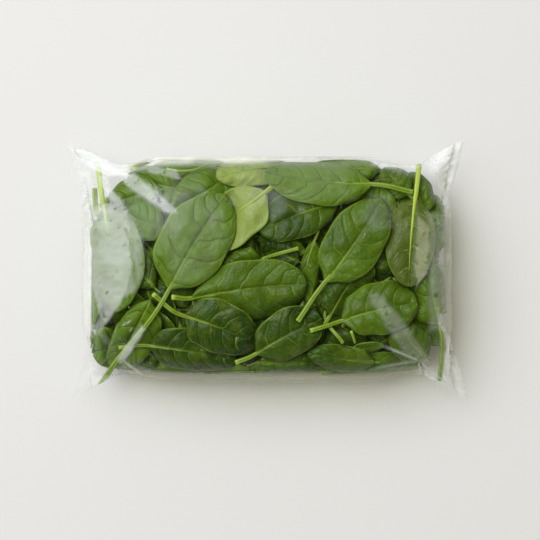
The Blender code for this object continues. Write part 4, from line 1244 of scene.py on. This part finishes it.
def mistAt(x, y, u, v):
    # how white the film is, from mist and painted glare, and how warm the mist looks, mostly a painted warm
    # shade tone on the walls that lie in shadow
    total, tint = np.zeros_like(x), np.zeros_like(x)
    earShare = 1 - smooth(fullness(u, v, film["upperPowers"]), earGlare["full"], earGlare["none"])
    for patch in mistGlarePatches:
        strength = patch["strength"]
        # on the ears the mist is painted glare, the reflection of the window light in the clear film
        if "fan" in patch:
            awayX, awayY = x - patch["fan"][0], y - patch["fan"][1]
            fan = softNoise(np.arctan2(awayY, awayX) * 6.0, np.hypot(awayX, awayY) / 22.0, 1.0, 70)
            strength = strength * np.clip(earGlare["even"] + earGlare["streak"] * fan, 0.6, 1.15) * earShare
        inside = insidePatch(patch, x, y)
        total = np.maximum(total, strength * inside)
        tint = np.maximum(tint, patch.get("tint", 0.0) * inside)
    drops = softNoise(x, y, 1.6, 62) + 0.5 * softNoise(x, y, 3.1, 63)
    mottle = 0.22 * softNoise(x, y, 9.0, 64) + 0.14 * softNoise(x, y * 2.5, 6.0, 67)
    mottle = mottle + 0.08 * softNoise(x, y * 1.5, 2.2, 68)
    total = total * (1 - 0.75 * smooth(drops, 0.75, 1.0)) * (0.92 + mottle)
    toEnd, toSide = np.abs(u), np.abs(v)
    streaks = 0.75 + 0.4 * softNoise(
        u * 3.2, v * 42.0, 1.0, 65) * (toSide > toEnd) + 0.2 * softNoise(x, y, 7.0, 66)
    ends = 1 - smooth(toEnd, wallGlare["nearCorner"], wallGlare["atCorner"])
    rightwards = smooth(u, -0.25, 0.35) * (v > 0)
    alongSides = smooth(toSide, wallGlare["start"] + 0.07 * rightwards, wallGlare["thick"] + 0.01 * rightwards)
    alongSides = alongSides * (1 - smooth(toSide, wallGlare["thinning"], wallGlare["end"]))
    farSide = wallGlare["top"] + (wallGlare["topRight"] - wallGlare["top"]) * rightwards
    atEnds = smooth(toEnd + 0.035 * (u < 0), wallGlare["endStart"], wallGlare["endThick"])
    atEnds = atEnds * (1 - smooth(toEnd, wallGlare["endThinning"], wallGlare["endStop"]))
    atEnds = atEnds * (1 - smooth(toSide + 0.12 * softNoise(u * 8.0, v * 6.0, 1.0, 76), 0.45, 0.85))
    atEnds = atEnds * np.clip(0.9 + 0.35 * softNoise(u * 60.0, v * 9.0, 1.0, 77), 0.4, 1.15)
    atSides = alongSides * np.where(v > 0, farSide, wallGlare["bottom"]) * ends
    atWallGlare = np.maximum(atSides, atEnds * np.where(u > 0, wallGlare["right"], wallGlare["left"]))
    # a painted highlight line along the front seam
    atWallGlare = np.maximum(
        atWallGlare, 0.8 * ends * (v < 0) * np.exp(-((toSide - wallGlare["seamLine"]) / wallGlare["seamWidth"]) ** 2))
    # warm tint, strongest on the bottom wall and the right end, which lie in shadow: painted warm shade tone
    sideTint = alongSides * (1 - smooth(toEnd, 0.68, 0.78)) * np.where(v > 0, 0.35, 0.9)
    tint = np.maximum(tint, np.maximum(sideTint, atEnds * np.where(u > 0, 0.6, 0.3)))
    clear = np.ones_like(x)
    for patch in clearPatches:
        clear = clear * (1 - patch["strength"] * insidePatch(patch, x, y))
    for corners, halfWidth in cracks:
        for a, b in zip(corners, corners[1:]):
            aside, along = segmentNearness(x, y, *a, *b)
            aside = aside + 0.5 * softNoise(x, y, 4.0, 69)
            cracked = np.maximum(0.0, 1 - np.abs(aside) / (2 * halfWidth))
            clear = clear * (1 - 0.75 * (along > -0.02) * (along < 1.02) * cracked)
    return np.maximum(total, atWallGlare * np.clip(streaks, 0.1, 1.2)) * clear, tint


def makeFilm():
    u = np.concatenate(
        [
            [-1.0, -0.5 - 0.5 * sealStart], sealStart * crowded(film["linesAlong"], film["crowding"]),
            [0.5 + 0.5 * sealStart, 1.0]])
    u, v = np.meshgrid(u, crowded(film["linesAcross"], film["crowding"]), indexing="ij")
    upper = np.stack(upperFilm(u, v), axis=-1)
    lower = np.stack(lowerFilm(u, v), axis=-1)
    # the film tents over stems that stand proud
    tent = readMap(tentMap, upper[..., 0], upper[..., 1])
    inside = smooth(np.abs(u), 1.0, 0.97) * smooth(np.abs(v), 1.0, 0.97)
    upper[..., 2] += (softMax(upper[..., 2], tent, 0.3) - upper[..., 2]) * inside
    # creases, long folds along the side walls and gentle unevenness, all square to the film
    normal = normalsOf(upper)
    x, y = upper[..., 0], upper[..., 1]
    height, misty = creaseAt(x, y)
    calm = 0.3 + 0.7 * smooth(fullness(u, v, film["upperPowers"]), 0.05, 0.30)
    height = height + calm * (0.22 * softNoise(x, y, 13.0, 71) + 0.16 * softNoise(x, y, 6.0, 72))
    wander = np.abs(v) + 0.012 * softNoise(u * 5.0, np.sign(v) * 3.0, 1.0, 73)
    wander = wander + 0.006 * softNoise(u * 14.0, np.sign(v) * 5.0, 1.0, 74)
    for number, (place, high) in enumerate(wallGlare["folds"]):
        strength = high * (0.6 + 0.6 * softNoise(u * 4.0 + 7.0 * number, np.sign(v), 1.0, 75))
        strength = strength * (1 - smooth(np.abs(u), 0.86, 0.96))
        height = height + strength * np.maximum(0.0, 1 - np.abs(wander - place) / wallGlare["foldWidth"])
    upper = upper + normal * (height * inside)[..., None]
    # never below the under sheet
    upper[..., 2] = np.where(inside > 0, np.maximum(upper[..., 2], lower[..., 2] + 0.5), upper[..., 2])
    points, faces = closedPillow(upper, lower)
    mist, tint = mistAt(x, y, u, v)
    mist = np.concatenate(
        [np.maximum(mist, misty).reshape(-1), 0.04 * smooth(np.abs(v), 0.8, 0.95).reshape(-1)])
    mesh = joinedMesh(
        "filmBag",
        [dict(points=points, faces=faces, marks=dict(mist=mist, tint=np.tile(tint.reshape(-1), 2)))])
    return newObject("filmBag", mesh, filmMaterial)


tent = dict(rings=9, over=0.45, drop=0.42)
tentMap = np.zeros_like(stemTop)
for ring in range(tent["rings"]):
    # a ring of lower height for each step away from a stem
    highest = -lowestNear(-stemTop, ring + 1)
    tentMap = np.maximum(tentMap, np.where(highest > 1.0, highest + tent["over"] - tent["drop"] * ring, 0.0))
filmPiece = makeFilm()
print("film made:", len(filmPiece.data.polygons), "faces")
tucked = dict(beyondX=86.0, beyondY=58.0, under=0.25, thickness=0.35, step=0.001)


def outsideFilm(filmTree, place):
    # inside, a straight way out crosses the film an odd number of times
    votes = 0
    for way in (Vector((0.01, 0.02, 1.0)), Vector((0.02, -0.01, -1.0)), Vector((0.31, 0.94, 0.13))):
        way, start, crossings = way.normalized(), place, 0
        hit = filmTree.ray_cast(start, way)[0]
        while hit is not None and crossings < 60:
            crossings += 1
            start = hit + way * tucked["step"] * mm
            hit = filmTree.ray_cast(start, way)[0]
        votes += crossings % 2
    return votes < 2


def tuckIn(piece, filmTree):
    # rims of blades and stems that would come through the film are brought back just under it
    mesh, count = piece.data, 0
    normals = [n.vector.copy() for n in mesh.vertex_normals]
    for number, vertex in enumerate(mesh.vertices):
        place = vertex.co
        if abs(place.x) < tucked["beyondX"] * mm and abs(place.y) < tucked["beyondY"] * mm:
            continue
        nearest, normal = filmTree.find_nearest(place)[:2]
        away, close = place - nearest, 0.5 * tucked["under"] * mm
        if away.dot(normal) > -close and (away.length < close or outsideFilm(filmTree, place)):
            lower = tucked["under"] + (tucked["thickness"] if normals[number].dot(normal) < 0 else 0.0)
            vertex.co = nearest - normal * lower * mm
            count += 1
    mesh.update()
    return count


filmTree = BVHTree.FromPolygons(
    [v.co.copy() for v in filmPiece.data.vertices], [tuple(f.vertices) for f in filmPiece.data.polygons])
print(
    "points tucked in under the film:",
    [tuckIn(piece, filmTree) for piece in (frontPiece, turnedPiece, stemPiece, liningPiece)])


# droplets on the film

droplets = dict(
    density=16000.0, seed=4, smallest=0.00022, largest=0.00075, flatness=0.5, above=36.0, all=0.12,
    left=0.8, right=0.35)
dropletInputs = {
    "Drops Per Square Metre": droplets["density"], "Seed": droplets["seed"],
    "Smallest": droplets["smallest"], "Largest": droplets["largest"],
}


def makeDropletMaterial():
    material, tree = newMaterial("waterDrop")
    facing = addNode(tree, "ShaderNodeLayerWeight", {"Blend": 0.5}).outputs["Facing"]
    share = timesPlus(tree, maths(tree, "POWER", facing, 2.5), 0.55, 0.12, clamp=True)
    clear = addNode(tree, "ShaderNodeBsdfTransparent", {"Color": (0.96, 0.97, 0.96, 1)})
    gloss = addNode(tree, "ShaderNodeBsdfGlossy", {"Color": (1, 1, 1, 1), "Roughness": 0.08})
    sheet = addNode(tree, "ShaderNodeMixShader", {0: share, 1: clear.outputs[0], 2: gloss.outputs[0]})
    return finished(material, sheet)


def dropletTree():
    tree, given = growthTree("layDroplets", dropletInputs)
    scatter = addNode(tree, "GeometryNodeDistributePointsOnFaces", {
        "Mesh": given["Geometry"],
        "Density": times(tree, ownValue(tree, "wet"), given["Drops Per Square Metre"]),
        "Seed": given["Seed"]})
    drop = addNode(tree, "GeometryNodeMeshIcoSphere", {"Radius": 1.0, "Subdivisions": 2})
    spread = randomValue(tree, 0.0, 1.0, 3)
    size = addNode(
        tree, "ShaderNodeMapRange",
        {
            "Value": maths(tree, "POWER", spread, 2.5), "To Min": given["Smallest"],
            "To Max": given["Largest"]}).outputs[0]
    scale = addNode(
        tree, "ShaderNodeCombineXYZ",
        {"X": size, "Y": size, "Z": times(tree, size, droplets["flatness"])}).outputs[0]
    placed = addNode(tree, "GeometryNodeInstanceOnPoints", {
        "Points": scatter.outputs["Points"], "Instance": drop.outputs[0],
        "Rotation": scatter.outputs["Rotation"], "Scale": scale})
    real = addNode(tree, "GeometryNodeRealizeInstances", {"Geometry": placed.outputs[0]})
    return endGrowth(tree, real, dropletMaterial)


dropletMaterial = makeDropletMaterial()
wetness = np.zeros(len(filmPiece.data.vertices), np.float32)
places = np.zeros(3 * len(wetness), np.float32)
filmPiece.data.vertices.foreach_get("co", places)
placeX, placeY = places[0::3] / mm, places[1::3] / mm
onTop = places[2::3] / mm > droplets["above"]
nearLeft = smooth(placeX, -60.0, -85.0) * (np.abs(placeY) < 56)
nearRight = smooth(placeX, 62.0, 84.0) * (np.abs(placeY) < 52)
patchyWet = 0.4 + 0.6 * (softNoise(placeX, placeY, 14.0, 81) > -0.1)
wetness[:] = onTop * (
    droplets["all"] + droplets["left"] * nearLeft + droplets["right"] * nearRight) * patchyWet
filmPiece.data.attributes.new("wet", "FLOAT", "POINT").data.foreach_set("value", wetness)
dropletMesh = grown("droplets", filmPiece, dropletTree(), dropletInputs)
dropletMesh.materials.clear()
dropletMesh.shade_smooth()
dropletPiece = newObject("droplets", dropletMesh, dropletMaterial)
filmPiece.data.attributes.remove(filmPiece.data.attributes["wet"])
print("droplets made:", len(dropletMesh.polygons), "faces")


# floor, light and camera

floorReach = 2.5
floorMesh = bpy.data.meshes.new("floor")
corners = [(floorReach * i, floorReach * j, 0) for i, j in ((-1, -1), (1, -1), (1, 1), (-1, 1))]
floorMesh.from_pydata(corners, [], [(0, 1, 2, 3)])
floor = newObject("floor", floorMesh, makeFloorMaterial())

lights = dict(
    key=dict(
        towards=138.0, fromZenith=37.0, distance=2.9, size=2.67, power=55.3, colour=(0.985, 0.998, 1.21),
        mirrored=True),
    overhead=dict(
        towards=138.0, fromZenith=14.0, distance=2.5, size=1.8, power=21.0, colour=(1.0, 0.96, 0.66),
        mirrored=False),
)


def addLight(name, light):
    data = bpy.data.lights.new(name, "AREA")
    data.shape, data.size = "DISK", light["size"]
    data.energy, data.color = light["power"], light["colour"]
    made = bpy.data.objects.new(name, data)
    made.visible_glossy = light["mirrored"]
    bpy.context.scene.collection.objects.link(made)
    turn, lean = math.radians(light["towards"]), math.radians(light["fromZenith"])
    away = Vector((math.cos(turn) * math.sin(lean), math.sin(turn) * math.sin(lean), math.cos(lean)))
    made.location = away * light["distance"]
    made.rotation_euler = away.to_track_quat("Z", "Y").to_euler()
    return made


for lightName, light in lights.items():
    addLight(lightName + "Light", light)

room = dict(
    window=(-0.62, 0.66, 0.42),     # the way to the window
    above=0.07, around=0.30, far=0.18, near=1.30, farTone=(1.0, 0.94, 0.42, 1), nearTone=(1.0, 1.0, 0.96, 1),
    mirrored=0.55, mirroredTone=(1.0, 0.99, 0.86, 1), wallStart=0.50, wallEnd=0.15, backdrop=0.80,
    backdropTone=(1.0, 0.99, 0.96, 1),
)
world = bpy.data.worlds.new("studio")
world.use_nodes = True
worldTree = world.node_tree
worldTree.nodes.clear()
# a pale room: dim straight above, brighter towards the walls and the window side
direction = addNode(worldTree, "ShaderNodeTexCoord").outputs["Generated"]
toWindow = addNode(
    worldTree, "ShaderNodeVectorMath", {0: direction, 1: room["window"]},
    operation="DOT_PRODUCT").outputs["Value"]
upwards = addNode(worldTree, "ShaderNodeSeparateXYZ", {0: direction}).outputs["Z"]
sideways = ramp(worldTree, toWindow, -1.0, 1.0, room["far"], room["near"])
glow = times(worldTree, ramp(worldTree, upwards, 0.97, 0.72, room["above"], room["around"]), sideways)
roomTone = blendColour(worldTree, ramp(worldTree, toWindow, -0.7, 0.5), room["farTone"], room["nearTone"])
# films and leaves mirror pale walls all round, and the far wall behind the floor is pale too
rays = addNode(worldTree, "ShaderNodeLightPath").outputs
walls = ramp(worldTree, upwards, room["wallStart"], room["wallEnd"], room["above"], room["mirrored"])
glow = addNode(
    worldTree, "ShaderNodeMix", {0: rays["Is Glossy Ray"], 2: glow, 3: walls}, data_type="FLOAT").outputs[0]
glow = addNode(
    worldTree, "ShaderNodeMix", {0: rays["Is Camera Ray"], 2: glow, 3: room["backdrop"]},
    data_type="FLOAT").outputs[0]
roomTone = blendColour(worldTree, rays["Is Glossy Ray"], roomTone, room["mirroredTone"])
roomTone = blendColour(worldTree, rays["Is Camera Ray"], roomTone, room["backdropTone"])
backdrop = addNode(worldTree, "ShaderNodeBackground", {"Color": roomTone, "Strength": glow})
addNode(worldTree, "ShaderNodeOutputWorld", {"Surface": backdrop.outputs[0]})
bpy.context.scene.world = world

cameraPlace = dict(lens=169.4, sensor=36.0, nearest=0.1, farthest=10.0, location=(0.0019, 0.0, 1.6))
cameraData = bpy.data.cameras.new("camera")
cameraData.lens, cameraData.sensor_width = cameraPlace["lens"], cameraPlace["sensor"]
cameraData.clip_start, cameraData.clip_end = cameraPlace["nearest"], cameraPlace["farthest"]
camera = bpy.data.objects.new("camera", cameraData)
camera.location = cameraPlace["location"]
bpy.context.scene.collection.objects.link(camera)
bpy.context.scene.camera = camera
bpy.context.scene.view_settings.view_transform = "Standard"


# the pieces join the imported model

for piece, slotName in (
    (filmPiece, "film"), (dropletPiece, "film"), (frontPiece, "leaf"), (turnedPiece, "leaf"),
    (liningPiece, "leaf"), (corePiece, "leaf"), (stemPiece, "stem")):
    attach(piece, "root")
    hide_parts("spinach_bag")
